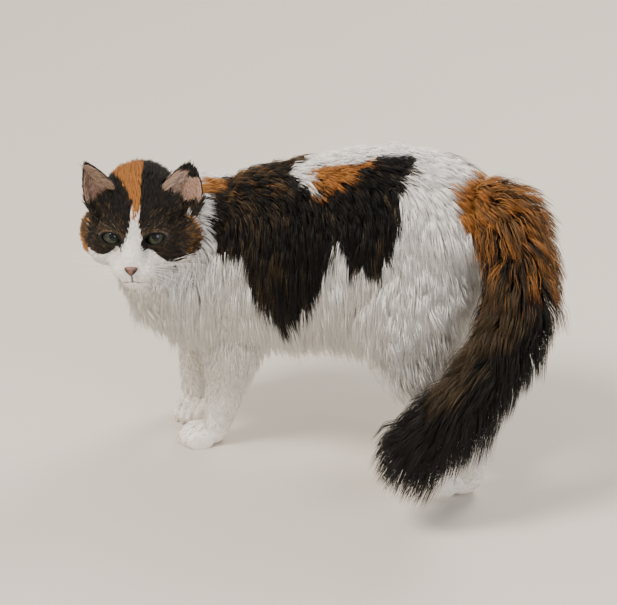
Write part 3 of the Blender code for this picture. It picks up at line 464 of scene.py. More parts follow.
def toe_places(name):
    """(centre, heading) of the four toes of a foot."""
    (x, y), heading = PAWS[name]
    turn = turned(heading)
    for index in (-1.5, -0.5, 0.5, 1.5):
        forward = (0.20 if abs(index) < 1 else 0.12) * PAW_SIZE[0]
        local = Vector((forward, index * 0.235 * PAW_SIZE[1], 0.33 * PAW_SIZE[2]))
        yield Vector((x, y, 0.0)) + turn @ local, heading - index * 4.0


def add_paw(builder, name):
    """Adds a foot of an instep and four toes to a bmesh."""
    (x, y), heading = PAWS[name]
    turn = turned(heading)
    instep = Vector((x, y, 0.0)) + turn @ Vector((-0.14 * PAW_SIZE[0], 0, 0.44 * PAW_SIZE[2]))
    add_ball(builder, instep, INSTEP_SHARES, PAW_FUR, heading)
    for centre, toe_heading in toe_places(name):
        add_ball(builder, centre, TOE_SHARES, PAW_FUR * 0.6, toe_heading)


def apply_modifiers(target):
    """Makes the object's mesh what its modifiers show, and drops them."""
    bpy.context.view_layer.update()
    graph = bpy.context.evaluated_depsgraph_get()
    mesh = bpy.data.meshes.new_from_object(target.evaluated_get(graph))
    target.modifiers.clear()
    target.data = mesh


def soften(target, factor, rounds, group=""):
    """Evens out a surface, or only the points of a named group, and applies all modifiers."""
    step = target.modifiers.new("Soften", "SMOOTH")
    step.factor = factor
    step.iterations = rounds
    step.vertex_group = group
    apply_modifiers(target)


def fuse(target, voxel, rounds):
    """Fuses overlapping closed forms into one even surface and softens it."""
    remesh = target.modifiers.new("Fuse", "REMESH")
    remesh.mode = "VOXEL"
    remesh.voxel_size = voxel
    remesh.use_smooth_shade = True
    soften(target, 0.5, rounds)


def combine(target, operation, other):
    """One Boolean between two objects, applied, and the other one removed."""
    step = target.modifiers.new(operation.title(), "BOOLEAN")
    step.operation = operation
    step.solver = "MANIFOLD"
    step.object = other
    apply_modifiers(target)
    bpy.data.objects.remove(other)


def head_distance(points):
    """Signed distance, in millimetres, to the blended forms of the head."""
    forms = HEAD_SINGLE + HEAD_PAIRS + [((x, -y, z), radii) for (x, y, z), radii in HEAD_PAIRS]
    total = np.full(len(points), 1e3)
    for centre, radii in forms:
        scaled = (points - np.array(centre)) / np.array(radii)
        reach = np.linalg.norm(scaled, axis=1) + 1e-9
        slope = np.linalg.norm(scaled / np.array(radii), axis=1) + 1e-9
        distance = reach * (reach - 1) / slope
        near = np.clip(0.5 + 0.5 * (total - distance) / HEAD_BLEND, 0, 1)
        total = total * (1 - near) + distance * near - HEAD_BLEND * near * (1 - near)
    return total


def step_up(values, low, high):
    """0 below low, 1 above high, and smooth between; low may be the larger."""
    share = np.clip((values - low) / (high - low), 0, 1)
    return share * share * (3 - 2 * share)


def head_surface(origin, rays):
    """The outermost point of the head along each ray from a point inside it."""
    origin = np.array(origin, float)
    steps = np.linspace(100.0, 6.0, 142)
    reach = np.zeros(len(rays))
    found = np.zeros(len(rays), bool)
    before = head_distance(origin + rays * steps[0])
    for far, near in zip(steps, steps[1:]):
        here = head_distance(origin + rays * near)
        crossed = ~found & (here <= 0)
        share = before / np.maximum(before - here, 1e-9)
        reach[crossed] = (far + share * (near - far))[crossed]
        found |= crossed
        before = here
    return origin + rays * reach[:, None]


def head_point(origin, ray):
    """The outermost point of the head along one ray from a point inside it."""
    return Vector(head_surface(origin, np.array([ray], float))[0])


def head_shell():
    """The head under its fur: a sphere whose points are drawn in onto the blended forms."""
    builder = bmesh.new()
    bmesh.ops.create_icosphere(builder, subdivisions=6, radius=1.0)
    rays = np.array([vert.co[:] for vert in builder.verts])
    points = head_surface((-12.0, 0.0, -8.0), rays)
    fur = 0.8 + 4.0 * step_up(points[:, 0], 8.0, -30.0)
    for vert, point in zip(builder.verts, points - rays * fur[:, None]):
        vert.co = point
    return object_of("head_shell", builder)


def eye_centre(side):
    """The centre of one eyeball, in head axes."""
    return Vector((0.0, side * EYE_SPACING / 2, 0.0)) / MILLIMETRE


def head_ball(centre, radius):
    """A sphere in head axes."""
    builder = bmesh.new()
    bmesh.ops.create_icosphere(builder, subdivisions=4, radius=radius, matrix=Matrix.Translation(centre))
    return object_of("ball", builder)


def fissure(side):
    """An almond-shaped cone that opens the lids of one eye, in head axes."""
    builder = bmesh.new()
    made = bmesh.ops.create_circle(builder, cap_ends=True, segments=32, radius=1.0)
    tilt = math.radians(FISSURE_TILT)
    for vert in made["verts"]:
        across = vert.co.x * FISSURE_WIDTH / 2
        high = vert.co.y * (FISSURE_UP if vert.co.y > 0 else FISSURE_DOWN)
        high *= 1 - 0.25 * abs(vert.co.x) ** 3
        y = across * math.cos(tilt) - high * math.sin(tilt)
        z = across * math.sin(tilt) + high * math.cos(tilt)
        vert.co = Vector((3.0, side * y * 0.9, z * 0.9 + FISSURE_LIFT / 7))
    grown = bmesh.ops.extrude_face_region(builder, geom=builder.faces[:])["geom"]
    for vert in (item for item in grown if isinstance(item, bmesh.types.BMVert)):
        vert.co = Vector((24.0, vert.co.y * 1.28 + side * 3.0, vert.co.z * 1.28 + FISSURE_LIFT))
    bmesh.ops.translate(builder, verts=builder.verts, vec=eye_centre(side))
    return object_of("fissure", builder)


def groove(points, radius, lead):
    """A thin closed tube through points of the head's surface, in head axes."""
    builder = bmesh.new()
    sweep(builder, rings_along(points, lead, [(radius, radius)] * len(points)), 8)
    return object_of("groove", builder)


def mouth_points():
    """The line of the lips, from one corner to the other."""
    points = []
    for share in np.linspace(-1.0, 1.0, 21):
        low = MOUTH_DROP * math.sin(min(1.0, abs(share) * 2.2) * math.pi / 2) ** 2
        z = MOUTH_TOP - low + 5.0 * max(0.0, abs(share) - 0.55)
        turn = MOUTH_HALF_WIDTH * share / 26.0
        points.append(head_point((2.0, 0.0, z), (math.cos(turn), math.sin(turn), 0.0)))
    return points


def ear_vectors(side):
    """Foot and tip of an ear, the way up it and the way that it opens, in head axes."""
    base, tip, open_to = (Vector(item) for item in EARS[side][:3])
    axis = (tip - base).normalized()
    return base, tip, axis, (open_to - axis * open_to.dot(axis)).normalized()


def ear_arrays(side):
    """Foot of an ear, its height, the way up it and the way that it opens, as arrays."""
    base, tip, open_to = (np.array(item, float) for item in EARS[side][:3])
    height = np.linalg.norm(tip - base)
    axis = (tip - base) / height
    facing = open_to - axis * (open_to @ axis)
    return base, height, axis, facing / np.linalg.norm(facing)


def ear_profile(side, shape):
    """Half width and depth of an ear where this share of its height is left above."""
    half, point_power = EARS[side][3:]
    width = half * (0.07 + 0.93 * np.sin(shape * math.pi / 2) ** point_power)
    return width, EAR_DEPTH * (0.10 + 0.90 * shape**0.9)


def ear_shell(side):
    """A hollow ear cup of thin skin, open towards the front, in head axes."""
    base, tip, axis, facing = ear_vectors(side)
    across = axis.cross(facing)
    height = (tip - base).length
    builder = bmesh.new()
    bmesh.ops.create_grid(builder, x_segments=24, y_segments=24, size=1.0)
    for vert in builder.verts:
        up = (vert.co.y + 1) / 2 * 1.25 - 0.25
        width, depth = ear_profile(side, min(1.0, 1 - max(up, 0.0)))
        angle = math.radians(EAR_WRAP) * vert.co.x
        point = base + axis * (height * up) + across * (width * math.sin(angle))
        vert.co = point - facing * (depth * (math.cos(angle) - 0.2))
    made = object_of("ear_shell", builder)
    wall = made.modifiers.new("Thickness", "SOLIDIFY")
    wall.thickness = EAR_WALL
    wall.offset = 0.0
    apply_modifiers(made)
    return made


def ear_hollow(side):
    """The room inside an ear, cut into the skull before the ear is set on it, in head axes."""
    base, tip, axis, facing = ear_vectors(side)
    matrices = []
    for up in np.linspace(0.2, 0.85, 8):
        width, depth = ear_profile(side, 1 - up)
        back = 1.2 - 0.8 * depth
        front = 0.5 * depth
        centre = base + (tip - base) * up + facing * ((back + front) / 2)
        thick = max(0.5, (front - back) / 2)
        matrices.append(ring_matrix(centre, axis, facing, thick, max(0.5, width - 1.2)))
    builder = bmesh.new()
    sweep(builder, matrices, 32)
    return object_of("ear_hollow", builder)


def head_skin():
    """The head with lids, eye sockets, nose seat, lips and ears, fused, in the drawn axes."""
    head = head_shell()
    eyeball = EYEBALL_RADIUS / MILLIMETRE
    for side in (1, -1):
        combine(head, "UNION", head_ball(eye_centre(side), eyeball + LID_THICKNESS))
        combine(head, "DIFFERENCE", ear_hollow(side))
        combine(head, "UNION", ear_shell(side))
    for side in (1, -1):
        combine(head, "DIFFERENCE", head_ball(eye_centre(side), eyeball + SOCKET_GAP))
        combine(head, "DIFFERENCE", fissure(side))
    combine(head, "DIFFERENCE", groove(mouth_points(), MOUTH_GROOVE, UP))
    heights = (NOSE_PLACE[2] - 2.0, (NOSE_PLACE[2] + MOUTH_TOP) / 2 - 1.0, MOUTH_TOP)
    split = [head_point((2.0, 0.0, z), FORWARD) for z in heights]
    combine(head, "DIFFERENCE", groove(split, MOUTH_GROOVE * 0.8, Vector((0, 1, 0))))
    fuse(head, HEAD_VOXEL, 2)
    head.data.transform(head_matrix())
    return head


def body_skin():
    """Everything behind the head, fused, in the drawn axes."""
    builder = bmesh.new()
    sweep(builder, trunk_rings(), 32)
    sweep(builder, path_rings(NECK, UP, NECK_UNDERCOAT), 28)
    sweep(builder, path_rings(BIB, FORWARD, NECK_UNDERCOAT), 20)
    sweep(builder, path_rings(TAIL, UP, TAIL_UNDERCOAT), 16)
    for rows in (FORELEG_LEFT, hindleg_rows(1), FORELEG_RIGHT, hindleg_rows(-1)):
        sweep(builder, path_rings(rows, FORWARD, -LEG_FUR), 24)
    body = object_of("body_skin", builder)
    fuse(body, BODY_VOXEL, 2)
    blend = body.vertex_groups.new(name="Shoulders")
    for vert in body.data.vertices:
        share = step_up(vert.co.z, 0.105, 0.14) * step_up(vert.co.x, 0.02, 0.06)
        if share > 0:
            blend.add([vert.index], share, "REPLACE")
    soften(body, 0.6, 14, blend.name)
    builder = bmesh.new()
    for name in PAWS:
        add_paw(builder, name)
    feet = object_of("feet", builder)
    fuse(feet, FOOT_VOXEL, 1)
    combine(body, "UNION", feet)
    builder = bmesh.new()
    matrix = Matrix.Translation((0, 0, -0.1)) @ Matrix.Diagonal((1.0, 1.0, 0.2, 1.0))
    bmesh.ops.create_cube(builder, size=1.0, matrix=matrix)
    combine(body, "DIFFERENCE", object_of("below", builder))
    return body


def waves(points, size, seed):
    """Smooth noise about -1 to 1 from seeded waves, with features about size across."""
    chance = np.random.default_rng(seed)
    total = np.zeros(len(points))
    for octave in (1.0, 2.1):
        for _ in range(7):
            way = chance.normal(size=3)
            way *= 2 * math.pi * octave / (size * 2.0) / np.linalg.norm(way)
            total += np.sin(points @ way + chance.uniform(0, 6.28)) / octave
    return total / 5.0


def off_segment(points, a, b):
    """For each point: how far along from a to b it is nearest, and the way to it from there."""
    along = b - a
    t = np.clip(((points - a) @ along) / (along @ along), 0, 1)
    return t, points - a - t[:, None] * along


def outline_depth(flat, outline):
    """How far points of a plane lie inside a closed outline; negative outside."""
    corners = np.array(outline, float)
    nearest = np.full(len(flat), 1e9)
    inside = np.zeros(len(flat), bool)
    for a, b in zip(corners, np.roll(corners, -1, axis=0)):
        _, offset = off_segment(flat, a, b)
        nearest = np.minimum(nearest, np.linalg.norm(offset, axis=1))
        crosses = (a[1] > flat[:, 1]) != (b[1] > flat[:, 1])
        rise = b[1] - a[1] if abs(b[1] - a[1]) > 1e-12 else 1e-12
        inside ^= crosses & (flat[:, 0] < a[0] + (flat[:, 1] - a[1]) * (b - a)[0] / rise)
    return np.where(inside, nearest, -nearest)


def within(flat, outlines, edge):
    """1 inside any of the outlines and 0 outside, smooth over an edge on both sides of the line."""
    return np.max([step_up(outline_depth(flat, outline), -edge, edge) for outline in outlines], axis=0)


def ripples(points, first, second):
    """Two columns of smooth noise, each from its size and seed."""
    return np.stack([waves(points, *first), waves(points, *second)], axis=1)


# Patches of the trunk, unrolled: (x in millimetres, degrees from the back, left positive)
SADDLE = [
    (100, 4), (92, -34), (66, -62), (40, -78), (22, -60), (20, -14), (24, 16), (10, 27), (-5, 41), (-18, 53),
    (-32, 69), (-31, 82), (-22, 97), (-6, 112), (8, 125), (22, 129), (29, 112), (46, 103), (51, 90),
    (54, 78), (66, 76), (81, 74), (85, 58), (88, 43), (97, 21),
]
SECOND_PATCH = [
    (-11, 20), (-30, 15), (-45, 13), (-65, 7), (-87, -3), (-93, 22), (-88, 35), (-90, 54), (-89, 73),
    (-87, 87), (-79, 93), (-66, 96), (-50, 89), (-36, 75), (-25, 70), (-12, 60), (-8, 40),
]
SECOND_GINGER = [(-2, 16), (-28, 14), (-52, 14), (-46, 24), (-36, 40), (-14, 46), (-4, 32)]
NECK_GINGER = [(112, 8), (98, -4), (86, 10), (90, 22), (104, 22)]
RUMP_GINGER = [
    (-136, -30), (-132, 0), (-130, 18), (-131, 39), (-139, 62), (-147, 80), (-158, 94), (-182, 100),
    (-182, -60), (-148, -60),
]
FAR_PATCHES = [
    [(-20, -70), (-50, -60), (-84, -64), (-96, -92), (-70, -112), (-36, -104)],
    [(-104, -24), (-128, -34), (-132, -60), (-112, -58)],
]
FAR_GINGER = [(10, -62), (-14, -46), (-34, -70), (-16, -92), (12, -86)]

# Patches of the face, seen from the front: (left, up) in millimetres
FACE_RIGHT_PATCH = [
    (-62, 30), (-44, 50), (-16, 50), (-1, 44), (0, 34), (0, 26), (-1, 20), (-4, 10), (-8, 1), (-10, -5),
    (-14, -3), (-19, -8), (-26, -11), (-36, -10), (-46, -12), (-60, -6),
]
FACE_LEFT_PATCH = [
    (-4, 60), (0, 44), (3, 37), (7, 32), (7, 22), (8, 15), (9, 6), (10, -4), (14, -6), (16, -5), (23, -13),
    (31, -18), (41, -28), (50, -28), (60, -22), (72, 6), (60, 60),
]

# Ginger on the crown, seen from above: (forward, left) in millimetres
CROWN_GINGER = [
    (-90, -34), (-58, -30), (-40, -19), (-26, -13), (-16, -5), (-9, -1), (-1, 2), (4, 3), (2, 6), (-3, 7),
    (-16, 6), (-34, 5), (-56, 2), (-90, 0),
]


def trunk_frame(points):
    """Of points: offsets across and up from the trunk's axis, its half sizes, and degrees from the back."""
    table = np.array(smooth_rows(TRUNK, 6))
    y, *edges = (np.interp(points[:, 0], table[:, 0], table[:, i]) for i in range(1, 6))
    top, bottom, half = with_undercoat(*edges)
    tall = (top - bottom) / 2
    across, rise = points[:, 1] - y, points[:, 2] - (top + bottom) / 2
    return across, rise, half, tall, np.degrees(np.arctan2(across / half, rise / tall))


def path_frame(points, rows):
    """For each point: place along a path, distance outside its surface, the path's direction there."""
    centres = np.array([row[0] for row in rows])
    radii = [sum(row[1:]) / len(row[1:]) for row in rows]
    best = np.full(len(points), 1e9)
    at = np.zeros(len(points))
    way = np.zeros((len(points), 3))
    for i, (a, b) in enumerate(zip(centres, centres[1:])):
        t, offset = off_segment(points, a, b)
        gap = np.linalg.norm(offset, axis=1) - (radii[i] * (1 - t) + radii[i + 1] * t)
        closer = gap < best
        best[closer] = gap[closer]
        at[closer] = (i + t)[closer]
        way[closer] = (b - a) / np.linalg.norm(b - a)
    return at, best, way


def path_centres(at, rows):
    """Points on the middle of a path at places along it."""
    return np.array([np.interp(at, range(len(rows)), [row[0][i] for row in rows]) for i in range(3)]).T


# Regions of the skin, in the order of the rows that region_shares gives
(
    ON_TRUNK, ON_NECK, ON_BIB, ON_TAIL, ON_FORE_LEFT, ON_FORE_RIGHT, ON_HIND_LEFT, ON_HIND_RIGHT, ON_HEAD,
) = range(9)

# Hair by region: (places, its lengths there, places, its lift there in degrees), the trunk's by degrees
# from the back and the others' along their paths
FORELEG_HAIR = ([0, 1, 2, 3, 5], [0.034, 0.018, 0.01, 0.007, 0.0035], [0, 1, 2, 5], [26, 22, 16, 14])
HINDLEG_HAIR = (
    [0, 1, 2, 3, 4, 7], [0.034, 0.038, 0.032, 0.017, 0.008, 0.0035],
    [0, 2, 3, 7], [24, 24, 20, 14],
)
HAIR = {
    ON_TRUNK: (
        [0, 40, 80, 120, 160, 180], [0.027, 0.032, 0.042, 0.046, 0.044, 0.04],
        [0, 40, 90, 140], [24, 26, 26, 30],
    ),
    ON_NECK: ([0], [0.034], [0], [26]),
    ON_BIB: ([0], [0.02], [0], [26]),
    ON_TAIL: (
        [0, 1, 2, 3, 5, 6, 7, 8], [0.026, 0.038, 0.046, 0.045, 0.048, 0.054, 0.058, 0.046],
        [0, 1, 2, 3, 6, 7, 8], [32, 42, 44, 40, 40, 42, 36],
    ),
    ON_FORE_LEFT: FORELEG_HAIR,
    ON_FORE_RIGHT: FORELEG_HAIR,
    ON_HIND_LEFT: HINDLEG_HAIR,
    ON_HIND_RIGHT: HINDLEG_HAIR,
}

# How much the tail's hair hangs, by its place along the tail
TAIL_SAG = ([0, 3, 5, 6, 7, 8], [0.15, 0.2, 0.5, 0.8, 0.75, 0.45])

# Where the pieces of coat meet: degrees from the back, metres forward or up, and millimetres on the head
BACK_EDGE = 42
BELLY_EDGE = 125
FLANK_END = -0.03
SHOULDER_FOOT = 0.125
THIGH_FOOT = 0.118
PAW_TOP = 0.024
SOLE_EDGE = 0.003
FACE_END = -14
CHEEK_TOP = 12

# Tufts: the shares that guide the others in locks and in smaller groups, and how far they pull them in
LOCK_SHARE = 0.018
LOCK_PULL = 0.1
TAIL_LOCK_PULL = 0.35
TUFT_SHARE = 0.13
TUFT_PULL = 0.42

# One tuft: steps along it, widths by its stretches, lowest point, size in the bake map, lift in the ears
SPINE_STEPS = 8
TUFT_WIDTHS = {2: (0.8, 0.9), 3: (0.75, 1.0, 0.72)}
LOWEST_HAIR = 0.0012
TUFT_PATCH = 0.003
EAR_LIFT = 20.0


def region_shares(points):
    """How much each region owns each point of the skin, with the paths' places and directions."""
    across, rise, half, tall, _ = trunk_frame(points)
    x = points[:, 0]
    ring = np.sqrt((across / half) ** 2 + (rise / tall) ** 2)
    beyond = np.maximum(0, x - TRUNK[-1][0]) + np.maximum(0, TRUNK[0][0] - x)
    trunk = np.interp(x, [row[0] for row in TRUNK], range(len(TRUNK)))
    back = np.tile([-1.0, 0.0, 0.0], (len(points), 1))
    found = [(trunk, (ring - 1) * np.minimum(half, tall) + beyond, back)]
    for rows in (NECK, BIB, TAIL, FORELEG_LEFT, FORELEG_RIGHT, hindleg_rows(1), hindleg_rows(-1)):
        found.append(path_frame(points, rows))
    local = in_head(points)
    skull = head_distance(local) * MILLIMETRE - HEAD_REACH
    found.append((local[:, 2], skull, np.tile(DOWN, (len(points), 1))))
    places, gaps, ways = (np.array(item) for item in zip(*found))
    weights = np.exp(-np.clip(gaps, -0.02, 0.2) / REGION_BLEND)
    weights /= weights.sum(axis=0)
    return weights, places, ways


def toe_furrow_painted_shade(points):
    """Painted shade in the furrows between the toes: 1 there, 0 elsewhere."""
    found = np.zeros(len(points))
    low = np.flatnonzero(points[:, 2] < PAW_SIZE[2] * 1.2)
    radii = tuple(share * size for share, size in zip(TOE_SHARES, PAW_SIZE))
    for name in PAWS:
        gaps = []
        for centre, heading in toe_places(name):
            local = (points[low] - np.array(centre)) @ np.array(turned(heading))
            gaps.append(np.linalg.norm(local / radii, axis=1))
        nearest, second = np.sort(np.array(gaps), axis=0)[:2]
        found[low] += np.exp(-(((second - nearest) / 0.16) ** 2)) * step_up(nearest, 1.7, 1.3)
    return np.clip(found, 0, 1)


def body_marks(points):
    """Black, ginger and brown of the trunk and legs."""
    *_, turn = trunk_frame(points)
    flat = np.stack([points[:, 0] * 1000, turn], axis=1)
    flat = flat + ripples(points, (0.012, 1), (0.012, 2)) * (1.0, 1.4) * 2.4
    black = within(flat, (SADDLE, SECOND_PATCH, *FAR_PATCHES), 1.5)
    depth = outline_depth(flat, SECOND_GINGER)
    ginger = step_up(depth + 5 * waves(points, 0.006, 3), -3.0, 3.0)
    ginger = np.maximum(ginger, within(flat, (NECK_GINGER, FAR_GINGER, RUMP_GINGER), 2.0))
    streaky = waves(points * (1.0, 1.0, 0.3), 0.007, 4)
    top = step_up(turn, 60, 20) * step_up(points[:, 0], 0.005, 0.03)
    flame = top * step_up(streaky, -0.05, 0.55)
    front = step_up(points[:, 0], 0.0, 0.03)
    brown = (0.25 * front + 0.4 * step_up(streaky, 0.1, 0.7) + 0.5 * flame) * black * (1 - 0.7 * ginger)
    under = step_up(black, 0.6, 1.0) * step_up(flame, 0.05, 0.2)
    under = np.maximum(under, black * step_up(depth, -9.0, -5.0))
    return black * (1 - 0.75 * ginger) * (1 - 0.45 * flame), np.maximum(ginger, under), brown


def tail_marks(points, along):
    """Black, ginger and brown of the tail, which turns from ginger and brown at its root to black."""
    bands = waves(points, 0.011, 5)
    x, _, z = path_centres(along, TAIL).T
    inner = step_up(points[:, 2] - z, 0.002, 0.018) * step_up(along, 3.4, 4.4) * step_up(along, 7.2, 6.2)
    behind = step_up(x - points[:, 0], 0.012, 0.032)
    darkening = along + 0.5 * bands - 0.4 * behind * step_up(along, 4.8, 4.2)
    black = np.maximum(step_up(darkening, 2.9, 3.9), 0.8 * step_up(bands, 0.3, 0.6))
    brown = np.interp(along, [0.8, 1.8, 3.0, 5.0], [0.2, 0.5, 0.7, 0.5]) * (1 - 0.9 * black)
    black = np.maximum(black * (1 - 0.4 * inner), step_up(darkening, 4.0, 4.4))
    return black, step_up(darkening, 4.6, 4.4), np.maximum(brown, 0.85 * inner)


def head_marks(points):
    """Black, ginger and brown of the head, and the share of the cheeks' pale fringe."""
    local = in_head(points)
    ahead, left, up = local.T
    front = local[:, 1:3] + ripples(points, (0.006, 7), (0.006, 8)) * 0.9
    dark = within(front, (FACE_RIGHT_PATCH, FACE_LEFT_PATCH), 0.8)
    rear = step_up(ahead, -14, -20) * step_up(up, 4, 12)
    collar = step_up(ahead, -20, -27) * step_up(up, 13, 5)
    ear_back = np.maximum(ear_share(local, 1), ear_share(local, -1))
    dark = np.maximum(np.maximum(dark, rear) * (1 - collar), ear_back) * step_up(ahead, -76, -68)
    above = local[:, :2] + ripples(points, (0.005, 10), (0.006, 8)) * (2.5, 0.8)
    crown = outline_depth(above, CROWN_GINGER)
    top = step_up(crown, -0.8, 0.8) * step_up(up, 8, 16) * (1 - ear_back)
    fringe = step_up(np.abs(left), 39, 46) * step_up(up, 16, 6) * step_up(up, -34, -24)
    fringe *= np.where(left < 0, 1.0, 0.55) * step_up(ahead, -34, -22)
    spot = np.exp(-(((front[:, 0] - 3) / 3.2) ** 2 + ((front[:, 1] - 28) / 5.5) ** 2)) * 0.75
    crease = np.zeros(len(points))
    for side in (1, -1):
        ring, high = fissure_ring(local, side)
        crease = np.maximum(crease, np.exp(-(((ring - 1.7) / 0.12) ** 2)) * step_up(high, 0.0, 0.5))
    crease *= step_up(ahead, 0, 4) * dark
    beside = step_up(crown, -5.0, -2.5) * dark * step_up(up, 8, 16)
    ginger = np.clip(top + beside + step_up(fringe, 0.1, 0.5) + spot + crease, 0, 1)
    mixed = 0.12 + 0.2 * step_up(up, 36, 12) + 0.5 * fringe + 0.5 * crease
    brown = dark * mixed * (1 - top) * (1 - 0.6 * ear_back)
    return dark * (1 - top) * (1 - 0.5 * crease), ginger, brown, fringe


def markings(points, part=None):
    """Shares of black, ginger and brown on the skin, or on hair of the body, the tail or the head; the brown
    also paints shade into the furrows between the toes.
    """
    weights, places, _ = region_shares(points)
    on_tail = step_up(weights[ON_TAIL], 0.35, 0.6) if part is None else float(part == "tail")
    on_head = step_up(weights[ON_HEAD], 0.35, 0.6) if part is None else float(part == "head")
    on_body = (1 - on_tail) * (1 - on_head) * (1 - step_up(weights[ON_BIB], 0.6, 0.9))
    *head, fringe = head_marks(points)
    kinds = zip(body_marks(points), tail_marks(points, places[ON_TAIL]), head)
    black, ginger, brown = (on_body * body + on_tail * tail + on_head * face for body, tail, face in kinds)
    black *= 1 - on_head * 0.6 * fringe
    # Painted shade: brown darkens the furrows between the toes.
    brown += 0.55 * toe_furrow_painted_shade(points)
    return np.clip(np.stack([black, ginger, brown], axis=1), 0, 1)


def out_of_head(ways):
    """Directions in head axes turned to the drawn axes."""
    return ways @ (np.array(head_matrix().to_3x3()) / MILLIMETRE).T


def laid(ways, normals):
    """Directions laid flat on the skin, one unit long."""
    flat = ways - normals * np.einsum("nc,nc->n", ways, normals)[:, None]
    return flat / (np.linalg.norm(flat, axis=1)[:, None] + 1e-9)


def groom(points, normals):
    """The lie, length, lift and sag of the coat at points of the skin, and the regions' shares."""
    weights, places, ways = region_shares(points)
    across, *_, turn = trunk_frame(points)
    turn = np.abs(turn)
    count = len(points)
    lies = np.zeros((len(weights), count, 3))
    sizes, lifts = np.zeros((2, len(weights), count))
    fall = step_up(turn, 8, 70)
    places[ON_TRUNK] = turn
    lies[ON_TRUNK] = np.stack([-(1 - 0.80 * fall), 0.5 * np.sign(across) * fall * (1 - fall), -fall], axis=1)
    lies[ON_NECK] = -ways[ON_NECK] * 0.6 + np.array([0.0, 0.0, -0.8])
    lies[ON_BIB] = np.array([0.0, 0.1, -1.0])
    lies[ON_TAIL] = ways[ON_TAIL]
    for index, (size_at, size, lift_at, lift) in HAIR.items():
        sizes[index] = np.interp(places[index], size_at, size)
        lifts[index] = np.interp(places[index], lift_at, lift)
    foot = step_up(points[:, 2], 0.030, 0.018)
    for index, name in enumerate(PAWS, ON_FORE_LEFT):
        lies[index] = ways[index] + np.array([0.0 if index < ON_HIND_LEFT else -0.25, 0.0, -0.3])
        heading = math.radians(PAWS[name][1])
        toes = np.array([math.cos(heading), math.sin(heading), -0.2])
        lies[index] = lies[index] * (1 - foot[:, None]) + toes * foot[:, None]
    local = in_head(points)
    ahead, _, up = local.T
    away = local - np.array([30.0, 0.0, -10.0])
    away /= np.linalg.norm(away, axis=1)[:, None]
    sag = step_up(up, 12, -20) * step_up(ahead, 20, -10)
    away += sag[:, None] * DOWN - np.array([0.5, 0.0, 0.0])
    lies[ON_HEAD] = out_of_head(away)
    rear = step_up(ahead, 6, -38)
    size = 0.0035 + rear * (0.007 + 0.015 * step_up(up, 10, -25)) + 0.003 * step_up(up, 14, 30)
    sizes[ON_HEAD] = size * (1 - 0.5 * step_up(ahead, 12, 26))
    lifts[ON_HEAD] = 14 + 14 * rear
    for side in (1, -1):
        share = ear_share(local, side)
        _, _, axis, _ = ear_arrays(side)
        grown = ((lies, out_of_head(axis), share[:, None]), (sizes, 0.0055, share), (lifts, 8, share))
        for values, on_ear, part in grown:
            values[ON_HEAD] = values[ON_HEAD] * (1 - part) + on_ear * part
    lie = laid(np.einsum("rn,rnc->nc", weights, lies), normals)
    size = np.einsum("rn,rn->n", weights, sizes)
    lift = np.einsum("rn,rn->n", weights, lifts)
    hang = 0.15 + 0.4 * (weights[ON_TRUNK] + weights[ON_NECK] + weights[ON_BIB])
    hang += weights[ON_TAIL] * np.interp(places[ON_TAIL], *TAIL_SAG)
    hang *= 1 - step_up(weights[ON_HEAD], 0.3, 0.9)
    return lie, size * (1 - 0.45 * foot), lift, hang, weights


def read_rows(items, key, width, kind=float):
    """One value or vector of each of a mesh's items, as the rows of an array."""
    values = np.empty(len(items) * width, kind)
    items.foreach_get(key, values)
    return values.reshape(-1, width)


def mesh_arrays(mesh):
    """Points, normals and triangles of a mesh as arrays."""
    mesh.calc_loop_triangles()
    points, normals = read_rows(mesh.vertices, "co", 3), read_rows(mesh.vertex_normals, "vector", 3)
    return points, normals, read_rows(mesh.loop_triangles, "vertices", 3, int)


def get_colours(mesh, name):
    """Reads four values a point from an attribute."""
    return read_rows(mesh.attributes[name].data, "color", 4, np.float32).astype(float)


def set_colours(mesh, name, values):
    """Stores up to four values a point as an attribute that materials read; missing ones are 1."""
    layer = mesh.attributes.new(name, "FLOAT_COLOR", "POINT")
    full = np.ones((len(values), 4), np.float32)
    full[:, : values.shape[1]] = values
    layer.data.foreach_set("color", full.ravel())


def add_node(tree, kind, links=(), **settings):
    """Adds a node: settings name its properties and sockets, links are (socket, from node, from socket)."""
    node = tree.nodes.new(kind)
    for key, value in settings.items():
        if hasattr(node, key):
            setattr(node, key, value)
        else:
            node.inputs[int(key[1:]) if key[1:].isdigit() else key.replace("_", " ")].default_value = value
    for socket, source, output in links:
        tree.links.new(source.outputs[output], node.inputs[socket])
    return node


def new_material(name):
    """An empty material with a Principled shader, and its tree."""
    material = bpy.data.materials.new(name)
    material.use_nodes = True
    return material, material.node_tree


def mix(tree, share, share_out, first, second):
    """A colour between two, each a colour or an earlier mix."""
    node = tree.nodes.new("ShaderNodeMix")
    node.data_type = "RGBA"
    tree.links.new(share.outputs[share_out], node.inputs[0])
    for socket, item in ((6, first), (7, second)):
        if isinstance(item, bpy.types.Node):
            tree.links.new(item.outputs[2], node.inputs[socket])
        else:
            node.inputs[socket].default_value = item
    return node


def pattern(tree, kind, **settings):
    """A texture node that follows the object's own axes."""
    axes = add_node(tree, "ShaderNodeTexCoord")
    return add_node(tree, "ShaderNodeTex" + kind, [("Vector", axes, "Object")], **settings)


def channels(tree, name):
    """The channels of one of the mesh's colour attributes."""
    attribute = add_node(tree, "ShaderNodeAttribute", attribute_name=name)
    return add_node(tree, "ShaderNodeSeparateColor", [(0, attribute, "Color")])


def shine(tree, tint, bump=None, **settings):
    """Gives a material's shader its colour, its relief and its numbers."""
    shader = tree.nodes["Principled BSDF"]
    tree.links.new(tint, shader.inputs["Base Color"])
    if bump:
        tree.links.new(bump.outputs[0], shader.inputs["Normal"])
    for key, value in settings.items():
        shader.inputs[key.replace("_", " ")].default_value = value


